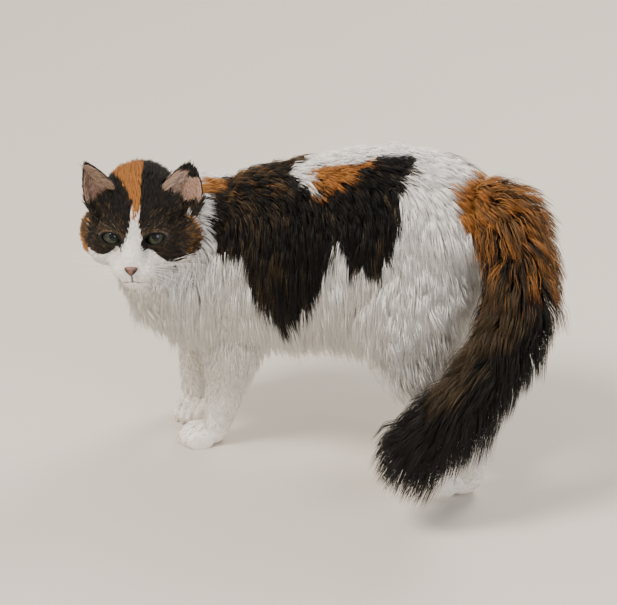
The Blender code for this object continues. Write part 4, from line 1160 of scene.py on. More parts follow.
def two_tone(name, scale, first, second, **settings):
    """A material that wavers between two colours over its surface."""
    material, tree = new_material(name)
    cloud = pattern(tree, "Noise", Scale=scale, Detail=2.0)
    shine(tree, mix(tree, cloud, 0, first, second).outputs[2], **settings)
    return material


def darker(tint, share):
    """A colour with a share of its light."""
    return (*[channel * share for channel in tint[:3]], 1.0)


def coat_material():
    """Hair of a longhair cat: soft keratin strands, paler at the root, each a little lighter or darker."""
    colours = bpy.context.scene.cat_colours
    material, tree = new_material("coat_hair")
    marks = channels(tree, "Markings")
    strand = channels(tree, "Strand")
    white = mix(tree, strand, 0, colours.white_root, colours.white)
    ginger = mix(tree, strand, 0, colours.ginger_root, colours.ginger)
    black = mix(tree, strand, 0, colours.black_root, colours.black)
    coat = mix(tree, marks, 0, mix(tree, marks, 1, white, ginger), black)
    brown = mix(tree, marks, 2, coat, colours.brown)
    shade = add_node(tree, "ShaderNodeMapRange", [(0, strand, 1)], _3=0.8, _4=1.08)
    tint = add_node(tree, "ShaderNodeHueSaturation", [(2, shade, 0), (4, brown, 2)])
    shine(tree, tint.outputs[0], Roughness=0.6, IOR=1.45, Specular_IOR_Level=0.3)
    return material


def skin_material():
    """Skin under the coat: the same markings in the undercoat, bare dark rims, pink inside the ears, and
    painted light that makes the left ear's inside paler.
    """
    colours = bpy.context.scene.cat_colours
    material, tree = new_material("cat_skin")
    marks = channels(tree, "Markings")
    bare = channels(tree, "Bare")
    seen = mix(tree, marks, 1, colours.white_root, colours.ginger)
    layers = (
        (marks, 0, colours.black), (marks, 2, colours.brown),
        (bare, 1, colours.ear_skin), (bare, 2, colours.ear_painted_light), (bare, 0, colours.rim),
    )
    for share, output, tint in layers:
        seen = mix(tree, share, output, seen, tint)
    grain = pattern(tree, "Noise", Scale=900.0, Detail=4.0)
    bump = add_node(tree, "ShaderNodeBump", [("Height", grain, 0)], Strength=0.5, Distance=0.0006)
    shine(tree, seen.outputs[2], bump, Roughness=0.75, Specular_IOR_Level=0.25)
    return material


def bare_shares(points):
    """Where the skin shows: rims of lids and lips, the inside of the ears, and that of the left one, which
    is made paler as painted light.
    """
    local = in_head(points)
    rim, inside = np.zeros((2, len(points)))
    for side in (1, -1):
        ring, _ = fissure_ring(local, side)
        near_eye = np.abs(local[:, 1] - side * EYE_SPACING / MILLIMETRE / 2) < 16
        rim = np.maximum(rim, step_up(ring, 1.38, 1.2) * step_up(local[:, 0], 0, 3) * near_eye)
        inside = np.maximum(inside, ear_inside(local, side))
    lips = np.array(mouth_points())
    stem = np.array([(31.0, 0.0, NOSE_PLACE[2] - 3.0), (29.0, 0.0, MOUTH_TOP - 1.0)])
    near = np.full(len(points), 1e3)
    for a, b in [*zip(lips, lips[1:]), tuple(stem)]:
        _, offset = off_segment(local, a, b)
        near = np.minimum(near, np.linalg.norm(offset * (0.5, 1, 1), axis=1))
    rim = np.maximum(rim, step_up(near, 1.1, 0.5) * 0.9)
    return np.stack([rim, inside, inside * (local[:, 1] > 0)], axis=1)


def ear_frame(local, side):
    """Of points in head axes: share up the ear, way across over half its width, millimetres off its wall."""
    base, height, axis, facing = ear_arrays(side)
    up = (local - base) @ axis / height
    width, depth = ear_profile(side, np.clip(1 - np.maximum(up, 0), 0, 1))
    sideways = (local - base) @ np.cross(axis, facing) / width
    angle = np.arcsin(np.clip(sideways, -1, 1))
    return up, sideways, (local - base) @ facing + depth * (np.cos(angle) - 0.2)


def ear_inside(local, side):
    """1 on the hollow face of an ear, 0 elsewhere, for points in head axes."""
    up, sideways, off = ear_frame(local, side)
    wall = step_up(off, -0.2, 0.4) * step_up(off, 3.5, 2.5) * (up > 0.0) * (up < 1.05)
    wall *= np.abs(sideways) < 1.05
    _, depth = ear_profile(side, np.clip(1 - up, 0, 1))
    height = off - depth * (np.sqrt(np.clip(1 - sideways**2, 0, 1)) - 0.2)
    tube = np.hypot(sideways, (height - 0.2 * depth) / depth)
    inside = np.maximum(wall, step_up(tube, 1.05, 0.97) * (height < 0.55 * depth) * (up < 0.8))
    return inside * step_up(up, 0.02, 0.1) * (1 - (side > 0) * step_up(up, 0.68, 0.76))


def inner_ear(local):
    """How densely hair grows inside the ears: thick along the front edge and the foot, sparse elsewhere."""
    grown = np.zeros(len(local))
    for side in (1, -1):
        up, sideways, _ = ear_frame(local, side)
        front = step_up(sideways * side, -0.2, -0.8)
        foot = step_up(up, 0.25, 0.0)
        grown = np.maximum(grown, (0.35 + front + foot) * ear_inside(local, side) * (up < 0.9))
    return grown


def ear_share(local, side):
    """1 on both faces of an ear above the skull, 0 elsewhere, for points in head axes."""
    up, sideways, off = ear_frame(local, side)
    width, _ = ear_profile(side, np.clip(1 - up, 0.05, 1))
    near = step_up(np.abs(off), 7.0, 4.0) * step_up(np.abs(sideways) * width - width, 5.0, 2.5)
    return near * step_up(up, 0.05, 0.25) * (up < 1.5)


def fissure_ring(local, side):
    """Round one eye: 1 at the edge of the opening, more outside it, and the share up from its middle."""
    t = (local[:, 0] - 3.0) / 21.0
    scale = 0.9 * (1 + 0.28 * t)
    tilt = math.radians(FISSURE_TILT)
    out = side * (local[:, 1] - side * (EYE_SPACING / MILLIMETRE / 2 + 3.0 * t))
    rise = local[:, 2] - FISSURE_LIFT * (0.143 + 1.04 * t)
    across = out * math.cos(tilt) + rise * math.sin(tilt)
    high = -out * math.sin(tilt) + rise * math.cos(tilt)
    tall = np.where(high > 0, FISSURE_UP, FISSURE_DOWN)
    ring = np.hypot(across / (FISSURE_WIDTH / 2 * scale), high / (tall * scale))
    return ring, high / tall


FLESH = (
    "head", "ear_left", "ear_right", "neck", "torso_front", "torso_middle", "torso_rear",
    "foreleg_left", "foreleg_right", "hindleg_left", "hindleg_right",
    "paw_fore_left", "paw_fore_right", "paw_hind_left", "paw_hind_right",
    "tail_base", "tail_middle", "tail_tip",
)


class CAT_OT_skin(bpy.types.Operator):
    """One skin from the nose to the tip of the tail, with its markings and bare places."""

    bl_idname = "cat.skin"
    bl_label = "Skin"

    def execute(self, context):
        skin = head_skin()
        combine(skin, "UNION", body_skin())
        skin.name = "skin"
        skin.data.shade_smooth()
        points, normals, _ = mesh_arrays(skin.data)
        lie, size, lift, hang, weights = groom(points, normals)
        set_colours(skin.data, "Markings", markings(points + lie * size[:, None] * 0.6))
        set_colours(skin.data, "Bare", bare_shares(points))
        set_colours(skin.data, "Lie", lie)
        set_colours(skin.data, "Growth", np.stack([size, lift, hang, weights.argmax(axis=0)], axis=1))
        place(skin, "head", *FLESH, material=skin_material())
        return {"FINISHED"}


def scatter(points, triangles, density, count, chance):
    """Even seeded places on a mesh: triangle and the three shares of its corners."""
    a, b, c = (points[triangles[:, i]] for i in range(3))
    area = np.linalg.norm(np.cross(b - a, c - a), axis=1) / 2
    area = area * density[triangles].mean(axis=1)
    total = np.cumsum(area)
    picks = (np.arange(count) + chance.uniform(0, 1, count)) / count * total[-1]
    which = np.minimum(np.searchsorted(total, picks), len(area) - 1)
    first = np.sqrt(chance.uniform(0, 1, count))
    second = chance.uniform(0, 1, count)
    return which, np.stack([1 - first, first * (1 - second), first * second], axis=1)


def gather(values, triangles, which, shares):
    """Values of a mesh's points read at scattered places."""
    corners = values[triangles[which]]
    if values.ndim == 1:
        return (corners * shares).sum(axis=1)
    return np.einsum("nk,nkc->nc", shares, corners)


def nearest_guides(roots, guides):
    """For each root the nearest of the guide roots."""
    tree = KDTree(len(guides))
    for index, place_at in enumerate(guides):
        tree.insert(place_at, index)
    tree.balance()
    return np.array([tree.find(root)[1] for root in roots])


def spines(roots, normals, lie, size, lift, hang, rings):
    """Points along each tuft: it leaves the skin at its lift, lies down, and sags."""
    found = [roots]
    here = roots.copy()
    keep = {round(stop * SPINE_STEPS / rings) for stop in range(1, rings + 1)}
    for step in range(SPINE_STEPS):
        t = (step + 0.5) / SPINE_STEPS
        rise = np.radians(lift * 1.9) * (1 - t) ** 0.8
        way = normals * np.sin(rise)[:, None] + lie * np.cos(rise)[:, None] + DOWN * (hang * t)[:, None]
        way /= np.linalg.norm(way, axis=1)[:, None]
        here = here + way * (size / SPINE_STEPS)[:, None]
        if step + 1 in keep:
            found.append(here)
    return np.stack(found, axis=1)


def tuft_mesh(name, spine, side, out, width, marks, tone, unwrap):
    """One mesh of closed three-sided tufts that taper to a point, with their colours and bake map."""
    count, stops, _ = spine.shape
    rings = stops - 1
    corners = []
    for ring, share in enumerate(TUFT_WIDTHS[rings]):
        half = (width * share / 2)[:, None]
        centre = spine[:, ring]
        corners += [centre + side * half, centre + out * half * 0.9, centre - side * half]
    points = np.stack([*corners, spine[:, -1]], axis=1)
    tip = rings * 3
    verts = tip + 1
    faces = [(2, 1, 0)]
    for low in range(0, tip, 3):
        for j, k in ((0, 1), (1, 2), (2, 0)):
            if low + 3 < tip:
                faces += [(low + j, low + k, low + 3 + k), (low + j, low + 3 + k, low + 3 + j)]
            else:
                faces.append((low + j, low + k, tip))
    table = (np.array(faces)[None] + (np.arange(count) * verts)[:, None, None]).reshape(-1, 3)
    mesh = bpy.data.meshes.new(name)
    mesh.vertices.add(count * verts)
    mesh.vertices.foreach_set("co", points.reshape(-1))
    mesh.loops.add(table.size)
    mesh.loops.foreach_set("vertex_index", table.reshape(-1).astype(np.int32))
    mesh.polygons.add(len(table))
    mesh.polygons.foreach_set("loop_start", (np.arange(len(table)) * 3).astype(np.int32))
    mesh.polygons.foreach_set("use_smooth", np.ones(len(table), bool))
    mesh.update(calc_edges=True)
    along = np.append(np.repeat(np.arange(rings) / rings, 3), 1.0)
    set_colours(mesh, "Markings", np.repeat(marks, verts, axis=0))
    set_colours(mesh, "Strand", np.stack([np.tile(along, count), np.repeat(tone, verts)], axis=1))
    patch = np.stack([np.append(np.tile([0.0, 0.5, 1.0], rings), 0.5), along], axis=1) * TUFT_PATCH
    layer = mesh.uv_layers.new(name="OFBake")
    layer.data.foreach_set("uv", (unwrap[:, None] + patch[None]).reshape(-1, 2)[table.reshape(-1)].ravel())
    return linked(name, mesh)


def ear_lie(roots, normals):
    """The lie and length of the hair inside the ears: up from the foot, and out over the opening."""
    local = in_head(roots)
    left = local[:, 1] > 0
    lie = np.zeros((len(roots), 3))
    size = np.zeros(len(roots))
    for side, mine in ((1, left), (-1, ~left)):
        _, _, axis, facing = ear_arrays(side)
        _, sideways, _ = ear_frame(local[mine], side)
        outward = -sideways * side
        across = np.cross(axis, facing) * side
        lie[mine] = out_of_head(axis * 0.7 + across * np.clip(outward, -0.6, 1)[:, None])
        size[mine] = 0.005 + 0.008 * step_up(outward, 0.0, 0.8)
    return laid(lie, normals), size


def coat_piece(name, count, width, rings, slot):
    """Tufts over the part of the skin that belongs to a piece of coat."""
    chance = np.random.default_rng(bpy.context.scene.cat_sizes.coat_seed + sum(map(ord, name)))
    skin = bpy.data.objects["skin"].data
    points, normals, triangles = mesh_arrays(skin)
    points = points - np.array(SHIFT)
    growth = get_colours(skin, "Growth")
    bare = get_colours(skin, "Bare")
    in_ears = name == "ear_tufts"
    if in_ears:
        amount = bare[:, 1] * inner_ear(in_head(points))
    else:
        clear = 1 - np.clip(bare[:, 0] * 1.5 + bare[:, 1] * 1.5, 0, 1)
        amount = owned(name, points, growth[:, 3].round()) * clear
    which, shares = scatter(points, triangles, amount, count, chance)
    wanted = (points, normals, get_colours(skin, "Lie")[:, :3], *growth[:, :3].T)
    roots, out, lie, size, lift, hang = (gather(values, triangles, which, shares) for values in wanted)
    locks, tufts = (
        chance.choice(count, max(8, int(count * share)), replace=False) for share in (LOCK_SHARE, TUFT_SHARE)
    )
    lock_of, tuft_of = (nearest_guides(roots, roots[guides]) for guides in (locks, tufts))

    def shared(lock_spread, tuft_spread):
        """Seeded differences that a whole lock has, and those that a tuft's own group has."""
        by_lock = chance.normal(0, lock_spread, len(locks))[lock_of]
        return by_lock, chance.normal(0, tuft_spread, len(tufts))[tuft_of]

    by_lock, by_tuft = shared(0.16, 0.10)
    turn = by_lock + by_tuft + chance.normal(0, 0.07, count)
    lie = lie * np.cos(turn)[:, None] + np.cross(out, lie) * np.sin(turn)[:, None]
    by_lock, by_tuft = shared(0.08, 0.06)
    size = size * (1 + by_lock + by_tuft) * chance.uniform(0.72, 1.06, count)
    lift = lift * chance.uniform(0.8, 1.25, len(tufts))[tuft_of] * chance.uniform(0.85, 1.15, count)
    if in_ears:
        lie, size = ear_lie(roots, out)
        size *= chance.uniform(0.7, 1.1, count)
        lift = np.full(count, EAR_LIFT)
    spine = spines(roots, out, lie, size, lift, hang, rings)
    lock_pull = TAIL_LOCK_PULL if name == "coat_tail" else LOCK_PULL
    for guides, of, pull in ((tufts, tuft_of, TUFT_PULL), (locks, lock_of, lock_pull)):
        for stop in range(1, rings + 1):
            gap = spine[guides, stop][of] - spine[:, stop]
            spine[:, stop] += gap * (pull * (stop / rings) ** 1.3)
    spine[:, :, 2] = np.maximum(spine[:, :, 2], LOWEST_HAIR)
    side = np.cross(out, lie)
    side /= np.linalg.norm(side, axis=1)[:, None] + 1e-9
    seen_at = spine[:, -2] * 0.5 + spine[:, -1] * 0.5
    seen_at = seen_at * 0.5 + seen_at[tufts][tuft_of] * 0.5
    part = {"head": "head", "tail_middle": "tail"}.get(slot, "body")
    if part == "head":
        seen_at = roots * 0.7 + seen_at * 0.3
    marks = markings(seen_at, part)
    own, of_tuft = chance.uniform(size=(count, 3)), chance.uniform(size=(len(tufts), 3))[tuft_of]
    limit = np.where(chance.uniform(size=(count, 1)) < 0.6, of_tuft, own)
    marks = step_up(marks * 1.3 - 0.15 - limit, -0.12, 0.12) * (1.0, 1.0, 0.8)
    # Hair inside the ears is buff and brown; the cat's right ear gets more black and brown as painted shade,
    # and the left ear is paler as painted light.
    if in_ears:
        right = (in_head(roots)[:, 1] < 0)[:, None]
        marks = own * np.where(right, (0.3, 0.4, 0.6), (0.1, 0.5, 0.5))
        marks += np.where(right, (0.0, 0.5, 0.2), (0.0, 0.4, 0.0))
    tone = np.clip(0.5 + chance.normal(0, 0.16, count) + chance.normal(0, 0.12, len(tufts))[tuft_of], 0, 1)
    thick = width * chance.uniform(0.75, 1.15, count)
    marks = np.clip(marks, 0, 1)
    made = tuft_mesh(name, spine, side, out, thick, marks, tone, unwrapped(roots, name))
    place(made, slot, material=bpy.data.materials.get("coat_hair") or coat_material())


def unwrapped(roots, name):
    """Places of the roots on an unrolled skin: along the part and round it, from 0 to 1."""
    x, y, z = roots.T
    if name in ("coat_face", "coat_cheeks", "coat_crown", "ear_tufts"):
        ahead, left, up = (in_head(roots) - np.array([-20.0, 0.0, -5.0])).T
        along = np.degrees(np.arctan2(up, np.hypot(ahead, left))) / 180 + 0.5
        around = np.degrees(np.arctan2(left, ahead)) / 360 + 0.5
    elif name == "coat_tail":
        at, _, way = path_frame(roots, TAIL)
        along = at / (len(TAIL) - 1)
        out = roots - path_centres(at, TAIL)
        side = np.cross(way, [0.0, 0.0, 1.0])
        around = np.degrees(np.arctan2((out * side).sum(axis=1), out[:, 2])) / 360 + 0.5
    elif name in ("coat_forelegs", "coat_hindlegs", "coat_paws"):
        along = (z - z.min()) / (z.max() - z.min())
        leg = (x > 0.0) * 0.5 + (y > 0.0) * 0.25
        turn = np.arctan2(y - np.sign(y) * 0.03, x - np.where(x > 0, 0.12, -0.12))
        around = leg + (np.degrees(turn) / 360 + 0.5) * 0.24
    else:
        *_, turn = trunk_frame(roots)
        along = (x + 0.17) / 0.36
        around = turn / 360 + 0.5
    return 0.005 + 0.985 * np.clip(np.stack([along, around], axis=1), 0, 1)


def owned(name, points, region):
    """1 on the skin under one piece of the coat, 0 elsewhere."""
    across, *_, turn = trunk_frame(points)
    turn = np.abs(turn)
    x, _, height = points.T
    ahead, _, up = in_head(points).T
    foreleg = (region == ON_FORE_LEFT) | (region == ON_FORE_RIGHT)
    hindleg = (region == ON_HIND_LEFT) | (region == ON_HIND_RIGHT)
    torso = (region == ON_TRUNK) | (hindleg & (height > THIGH_FOOT)) | (foreleg & (height > SHOULDER_FOOT))
    side = torso & (turn >= BACK_EDGE) & (turn < BELLY_EDGE)
    left, front, shank = across > 0, x > FLANK_END, height > PAW_TOP
    head, face = region == ON_HEAD, ahead > FACE_END
    picked = {
        "coat_back": torso & (turn < BACK_EDGE),
        "coat_flank_left": side & left & front,
        "coat_thigh_left": side & left & ~front,
        "coat_flank_right": side & ~left & front,
        "coat_thigh_right": side & ~left & ~front,
        "coat_belly": torso & (turn >= BELLY_EDGE),
        "coat_neck": region == ON_NECK,
        "coat_bib": region == ON_BIB,
        "coat_tail": region == ON_TAIL,
        "coat_forelegs": foreleg & (height <= SHOULDER_FOOT) & shank,
        "coat_hindlegs": hindleg & (height <= THIGH_FOOT) & shank,
        "coat_paws": (foreleg | hindleg) & ~shank & (height > SOLE_EDGE),
        "coat_face": head & face,
        "coat_cheeks": head & ~face & (up < CHEEK_TOP),
        "coat_crown": head & ~face & (up >= CHEEK_TOP),
    }
    return picked[name].astype(float)


# Pieces of the coat: (name, how many tufts, stretches in a tuft, width over the body hair's, slot)
BODY_COAT = [
    ("coat_back", 13700, 2, 0.85, "torso_middle"),
    ("coat_flank_left", 16000, 2, 0.85, "torso_middle"),
    ("coat_thigh_left", 14000, 2, 0.85, "torso_rear"),
    ("coat_flank_right", 7500, 2, 1.15, "torso_middle"),
    ("coat_thigh_right", 7200, 2, 1.15, "torso_rear"),
    ("coat_belly", 5500, 2, 1.0, "torso_middle"),
    ("coat_neck", 9000, 2, 0.85, "neck"),
    ("coat_bib", 7000, 2, 0.85, "torso_front"),
    ("coat_forelegs", 7200, 2, 0.65, "foreleg_left"),
    ("coat_hindlegs", 5300, 2, 0.7, "hindleg_left"),
    ("coat_paws", 6000, 2, 0.5, "paw_fore_left"),
]
HEAD_COAT = [
    ("coat_face", 15500, 2, 0.55, "head"),
    ("coat_cheeks", 7000, 2, 0.7, "head"),
    ("coat_crown", 7500, 2, 0.65, "head"),
    ("ear_tufts", 2200, 2, 0.32, "head"),
]
TAIL_COAT = [("coat_tail", 12300, 3, 0.95, "tail_middle")]


def grow_coat(pieces):
    """Grows each piece of coat in a table."""
    width = bpy.context.scene.cat_sizes.body_hair
    for name, count, rings, wide, slot in pieces:
        coat_piece(name, count, width * wide, rings, slot)
    return {"FINISHED"}


class CAT_OT_body_coat(bpy.types.Operator):
    """Long coat of the trunk and neck, and the shorter coat of legs and feet."""

    bl_idname = "cat.body_coat"
    bl_label = "Body coat"

    def execute(self, context):
        return grow_coat(BODY_COAT)


class CAT_OT_tail_coat(bpy.types.Operator):
    """The plume of the tail."""

    bl_idname = "cat.tail_coat"
    bl_label = "Tail coat"

    def execute(self, context):
        return grow_coat(TAIL_COAT)


class CAT_OT_head_coat(bpy.types.Operator):
    """Short fur of the face and the longer fur of crown and cheeks."""

    bl_idname = "cat.head_coat"
    bl_label = "Head coat"

    def execute(self, context):
        return grow_coat(HEAD_COAT)


def eye_material():
    """A living eye: a wet clear cornea over a grey-green iris with an upright oval pupil and dark rim."""
    colours = bpy.context.scene.cat_colours
    material, tree = new_material("cat_eye")
    gaze = channels(tree, "Gaze")
    fibre = add_node(
        tree, "ShaderNodeMapRange", [(0, pattern(tree, "Noise", Scale=900.0, Detail=3.0), 0)], _1=0.3, _2=0.7
    )
    iris = mix(tree, gaze, 1, colours.iris_inner, colours.iris)
    iris = mix(tree, fibre, 0, iris, colours.iris)
    iris = mix(tree, gaze, 2, iris, colours.rim)
    shine(tree, mix(tree, gaze, 0, iris, colours.pupil).outputs[2], Roughness=0.05, IOR=1.38)
    return material


# One eye, in millimetres
IRIS_RADIUS = 7.6
IRIS_RIM = 0.9
CORNEA_RISE = 0.9
PUPIL_HALF_WIDTH = 3.5
PUPIL_HALF_HEIGHT = 4.5


def camera_gaze(side):
    """The way one eye looks, in head axes: at the camera."""
    eye = head_matrix() @ eye_centre(side)
    way = head_matrix().to_3x3().inverted() @ (CAMERA_PLACE - eye)
    return way.normalized()


class CAT_OT_eyes(bpy.types.Operator):
    """Both eyeballs, with a raised cornea, that look at the camera."""

    bl_idname = "cat.eyes"
    bl_label = "Eyes"

    def execute(self, context):
        material = eye_material()
        for side, name in ((1, "left"), (-1, "right")):
            gaze = camera_gaze(side)
            builder = bmesh.new()
            ball = EYEBALL_RADIUS / MILLIMETRE
            bmesh.ops.create_uvsphere(builder, u_segments=64, v_segments=40, radius=ball)
            turn = gaze.to_track_quat("Z", "Y").to_matrix()
            bmesh.ops.rotate(builder, cent=(0, 0, 0), matrix=turn, verts=builder.verts)
            upright = (UP - gaze * UP.dot(gaze)).normalized()
            across = gaze.cross(upright)
            values = []
            for vert in builder.verts:
                off = vert.co - gaze * vert.co.dot(gaze)
                if vert.co.dot(gaze) <= 0:
                    values.append((0.0, 1.0, 1.0))
                    continue
                radius = off.length
                vert.co += gaze * CORNEA_RISE * max(0.0, 1 - (radius / IRIS_RADIUS) ** 2)
                oval = math.hypot(off.dot(across) / PUPIL_HALF_WIDTH, off.dot(upright) / PUPIL_HALF_HEIGHT)
                outer = step_up(radius, 3.0, IRIS_RADIUS)
                rim = step_up(radius, IRIS_RADIUS - IRIS_RIM, IRIS_RADIUS)
                values.append((step_up(oval, 1.08, 0.92), outer, rim))
            bmesh.ops.translate(builder, verts=builder.verts, vec=eye_centre(side))
            bmesh.ops.transform(builder, matrix=head_matrix(), verts=builder.verts)
            made = object_of("eyeball_" + name, builder)
            set_colours(made.data, "Gaze", np.array(values, float))
            place(made, "eye_" + name, "eye_" + name, material=material)
        return {"FINISHED"}


def nose_material():
    """Moist nose leather: pebbled pink skin with a darker outline."""
    colours = bpy.context.scene.cat_colours
    material, tree = new_material("nose_leather")
    pebble = pattern(tree, "Voronoi", Scale=1600.0)
    bump = add_node(tree, "ShaderNodeBump", [("Height", pebble, 0)], Strength=0.5, Distance=0.0003)
    seen = mix(tree, channels(tree, "Edge"), 0, colours.leather, colours.rim)
    shine(tree, seen.outputs[2], bump, Roughness=0.42)
    return material


class CAT_OT_nose(bpy.types.Operator):
    """The leather of the nose with its nostrils."""

    bl_idname = "cat.nose"
    bl_label = "Nose"

    def execute(self, context):
        builder = bmesh.new()
        bmesh.ops.create_icosphere(builder, subdivisions=6, radius=1.0)
        for vert in builder.verts:
            x, y, z = vert.co
            narrow = 0.62 + 0.38 * max(-1.0, min(1.0, z * 1.4 + 0.25))
            vert.co = Vector((x * NOSE_RADII[0], y * NOSE_RADII[1] * narrow, z * NOSE_RADII[2]))
            vert.co += Vector(NOSE_PLACE)
        made = object_of("nose_leather", builder)
        seat = Vector(NOSE_PLACE) + Vector((NOSE_RADII[0] * 0.75, 0, -0.6))
        for side in (1, -1):
            points = [seat + Vector((x, side * y, z)) for x, y, z, _ in NOSTRIL]
            builder = bmesh.new()
            sweep(builder, rings_along(points, UP, [(row[3], row[3]) for row in NOSTRIL]), 12)
            combine(made, "DIFFERENCE", object_of("nostril", builder))
        points, _, _ = mesh_arrays(made.data)
        drop = (points[:, 2] - NOSE_PLACE[2]) / NOSE_RADII[2]
        narrow = 0.62 + 0.38 * np.clip(drop * 1.4 + 0.25, -1, 1)
        wide = NOSE_RADII[1] * narrow * np.sqrt(np.clip(1 - drop**2, 0.02, 1))
        edge = step_up(np.abs(points[:, 1]) / wide, 0.15, 0.5) * step_up(drop, 0.8, 0.4)
        edge = np.maximum(edge, step_up(drop, 0.1, -0.4)) * 0.92
        set_colours(made.data, "Edge", np.stack([edge] * 3, axis=1))
        made.data.transform(head_matrix())
        made.data.shade_smooth()
        place(made, "nose", "nose", material=nose_material())
        return {"FINISHED"}


def whisker_material():
    """White keratin of the whiskers: smooth and a little glossy."""
    return two_tone("whisker_keratin", 60.0, linear("#e9e2d8"), linear("#fbf8f3"), Roughness=0.35)


class CAT_OT_whiskers(bpy.types.Operator):
    """Whiskers in four rows on each side of the muzzle, and a few over the eyes."""

    bl_idname = "cat.whiskers"
    bl_label = "Whiskers"

    def execute(self, context):
        chance = np.random.default_rng(WHISKER_SEED)
        sizes = context.scene.cat_sizes
        builder = bmesh.new()
        thin = sizes.whisker / MILLIMETRE / 2
        longest = sizes.whisker_length / MILLIMETRE
        for side in (1, -1):
            for row, column in itertools.product(range(WHISKER_ROWS), repeat=2):
                ray = np.array([0.75 - 0.22 * column, side * (0.62 + 0.2 * column), 0.0])
                root = head_point((8.0, side * 2.0, -18.0 - 2.3 * row), ray / np.linalg.norm(ray))
                reach = longest * (1.0 - 0.17 * abs(column - 2)) * chance.uniform(0.8, 1.0)
                way = Vector((0.25 - 0.25 * column, side * 1.0, 0.22 - 0.22 * row)).normalized()
                self.add_hair(builder, root - way, way, Vector((-0.1, 0, -0.25)), reach, thin)
            for index in range(BROW_HAIRS):
                root = head_point((0, side * (11.0 + 8 * index), 15.0), FORWARD)
                way = Vector((0.7, side * (0.3 + 0.5 * index), 0.8)).normalized()
                bend = Vector((-0.8, side * 0.3, 0.0))
                self.add_hair(builder, root - way, way, bend, longest * 0.3, thin * 0.2)
        bmesh.ops.transform(builder, matrix=head_matrix(), verts=builder.verts)
        place(object_of("whiskers", builder), "head", material=whisker_material())
        return {"FINISHED"}

    def add_hair(self, builder, root, way, bend, reach, thin):
        """Adds one tapered hair that bends on its way out."""
        points = [root + way * reach * t + bend * reach * t * t for t in np.linspace(0, 1, 9)]
        sweep(builder, rings_along(points, UP, [(thin * (1 - 0.85 * i / 8),) * 2 for i in range(9)]), 5)


def floor_material():
    """Matt painted studio floor."""
    tint = bpy.context.scene.cat_colours.floor
    return two_tone("studio_floor", 3.0, tint, darker(tint, 0.96), Roughness=0.9)


def claw_material():
    """Horn of the claws: pale, a little waxy, darker in places."""
    tint = bpy.context.scene.cat_colours.claw
    return two_tone("claw_horn", 700.0, tint, darker(tint, 0.75), Roughness=0.35, IOR=1.55)


class CAT_OT_claws(bpy.types.Operator):
    """A drawn-in claw over the tip of each toe."""

    bl_idname = "cat.claws"
    bl_label = "Claws"

    def execute(self, context):
        builder = bmesh.new()
        halves = [(CLAW_THICKNESS * share, CLAW_THICKNESS * share * 0.6) for share in (1.0, 0.8, 0.5, 0.15)]
        for centre, heading in (toe for name in PAWS for toe in toe_places(name)):
            way = Vector((math.cos(math.radians(heading)), math.sin(math.radians(heading)), 0.0))
            root = centre + way * (0.26 * PAW_SIZE[0]) + UP * 0.001
            points = [root + way * reach - UP * drop for reach, drop in CLAW_CURVE]
            sweep(builder, rings_along(points, UP, halves), 8)
        place(object_of("claws", builder), "paw_fore_left", material=claw_material())
        return {"FINISHED"}


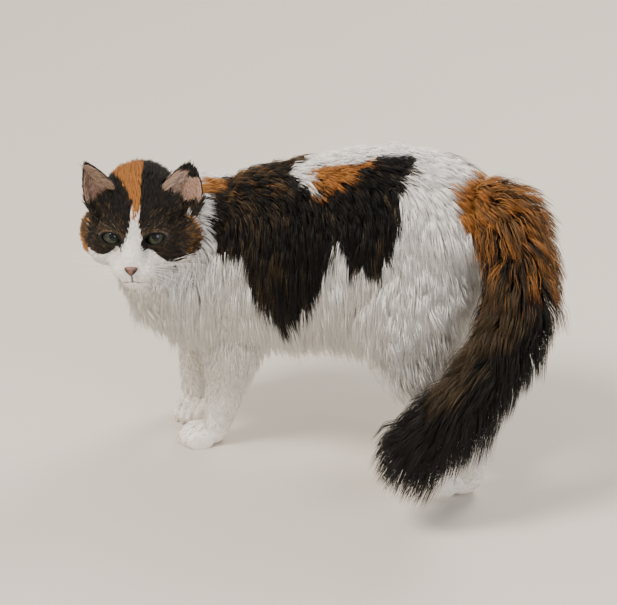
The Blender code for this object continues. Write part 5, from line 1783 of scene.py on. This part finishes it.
class CAT_OT_stage(bpy.types.Operator):
    """Pale floor, soft lights and the camera of the photograph."""

    bl_idname = "cat.stage"
    bl_label = "Stage"

    def execute(self, context):
        scene = context.scene
        builder = bmesh.new()
        bmesh.ops.create_grid(builder, x_segments=2, y_segments=2, size=14.0)
        floor = object_of("studio_floor", builder)
        floor.data.materials.append(floor_material())
        for lamp in LAMPS:
            self.add_light(*lamp)
        scene.world = bpy.data.worlds.new("studio_world")
        scene.world.use_nodes = True
        background = scene.world.node_tree.nodes["Background"]
        background.inputs[0].default_value = linear("#f4f2ee")
        background.inputs[1].default_value = 0.85
        camera = bpy.data.cameras.new("camera")
        camera.sensor_fit = "HORIZONTAL"
        camera.sensor_width = 36.0
        camera.lens = FOCAL_PIXELS / PICTURE_WIDTH * camera.sensor_width
        camera.clip_end = 60.0
        azimuth, elevation, roll = (math.radians(a) for a in (VIEW_AZIMUTH, VIEW_ELEVATION, VIEW_ROLL))
        level = math.cos(elevation)
        back = Vector((-math.sin(azimuth) * level, math.cos(azimuth) * level, math.sin(elevation)))
        right = UP.cross(back).normalized()
        upward = back.cross(right)
        rolled_right = right * math.cos(roll) - upward * math.sin(roll)
        rolled_up = upward * math.cos(roll) + right * math.sin(roll)
        turn = Matrix((rolled_right, rolled_up, back)).transposed().to_4x4()
        scene.camera = linked("camera", camera)
        scene.camera.matrix_world = Matrix.Translation(CAMERA_PLACE + SHIFT) @ turn
        return {"FINISHED"}

    def add_light(self, name, at, size, power, tint):
        """A round soft light that faces the cat."""
        lamp = bpy.data.lights.new(name, "AREA")
        lamp.shape = "DISK"
        lamp.size = size
        lamp.energy = power
        lamp.color = linear(tint)[:3]
        held = linked(name, lamp)
        held.location = at
        held.rotation_euler = (LAMPS_FACE - Vector(at)).to_track_quat("-Z", "Y").to_euler()


class CAT_PT_panel(bpy.types.Panel):
    """Lists the cat's sizes, colours and steps."""

    bl_label = "Longhair cat"
    bl_idname = "CAT_PT_panel"
    bl_space_type = "VIEW_3D"
    bl_region_type = "UI"
    bl_category = "Cat"

    def draw(self, context):
        for group in (context.scene.cat_sizes, context.scene.cat_colours):
            for key in group.__annotations__:
                self.layout.prop(group, key)
        for step in OPERATORS:
            self.layout.operator(step.bl_idname)


OPERATORS = (
    CAT_OT_stage, CAT_OT_skin, CAT_OT_eyes, CAT_OT_nose, CAT_OT_whiskers, CAT_OT_claws,
    CAT_OT_head_coat, CAT_OT_body_coat, CAT_OT_tail_coat,
)
CLASSES = (CatSizes, CatColours, *OPERATORS, CAT_PT_panel)


def register():
    for kind in CLASSES:
        bpy.utils.register_class(kind)
    bpy.types.Scene.cat_sizes = PointerProperty(type=CatSizes)
    bpy.types.Scene.cat_colours = PointerProperty(type=CatColours)


def unregister():
    del bpy.types.Scene.cat_sizes
    del bpy.types.Scene.cat_colours
    for kind in reversed(CLASSES):
        bpy.utils.unregister_class(kind)


def main():
    """Builds every piece."""
    register()
    for step in OPERATORS:
        group, name = step.bl_idname.split(".")
        getattr(getattr(bpy.ops, group), name)()


if __name__ == "__main__":
    main()
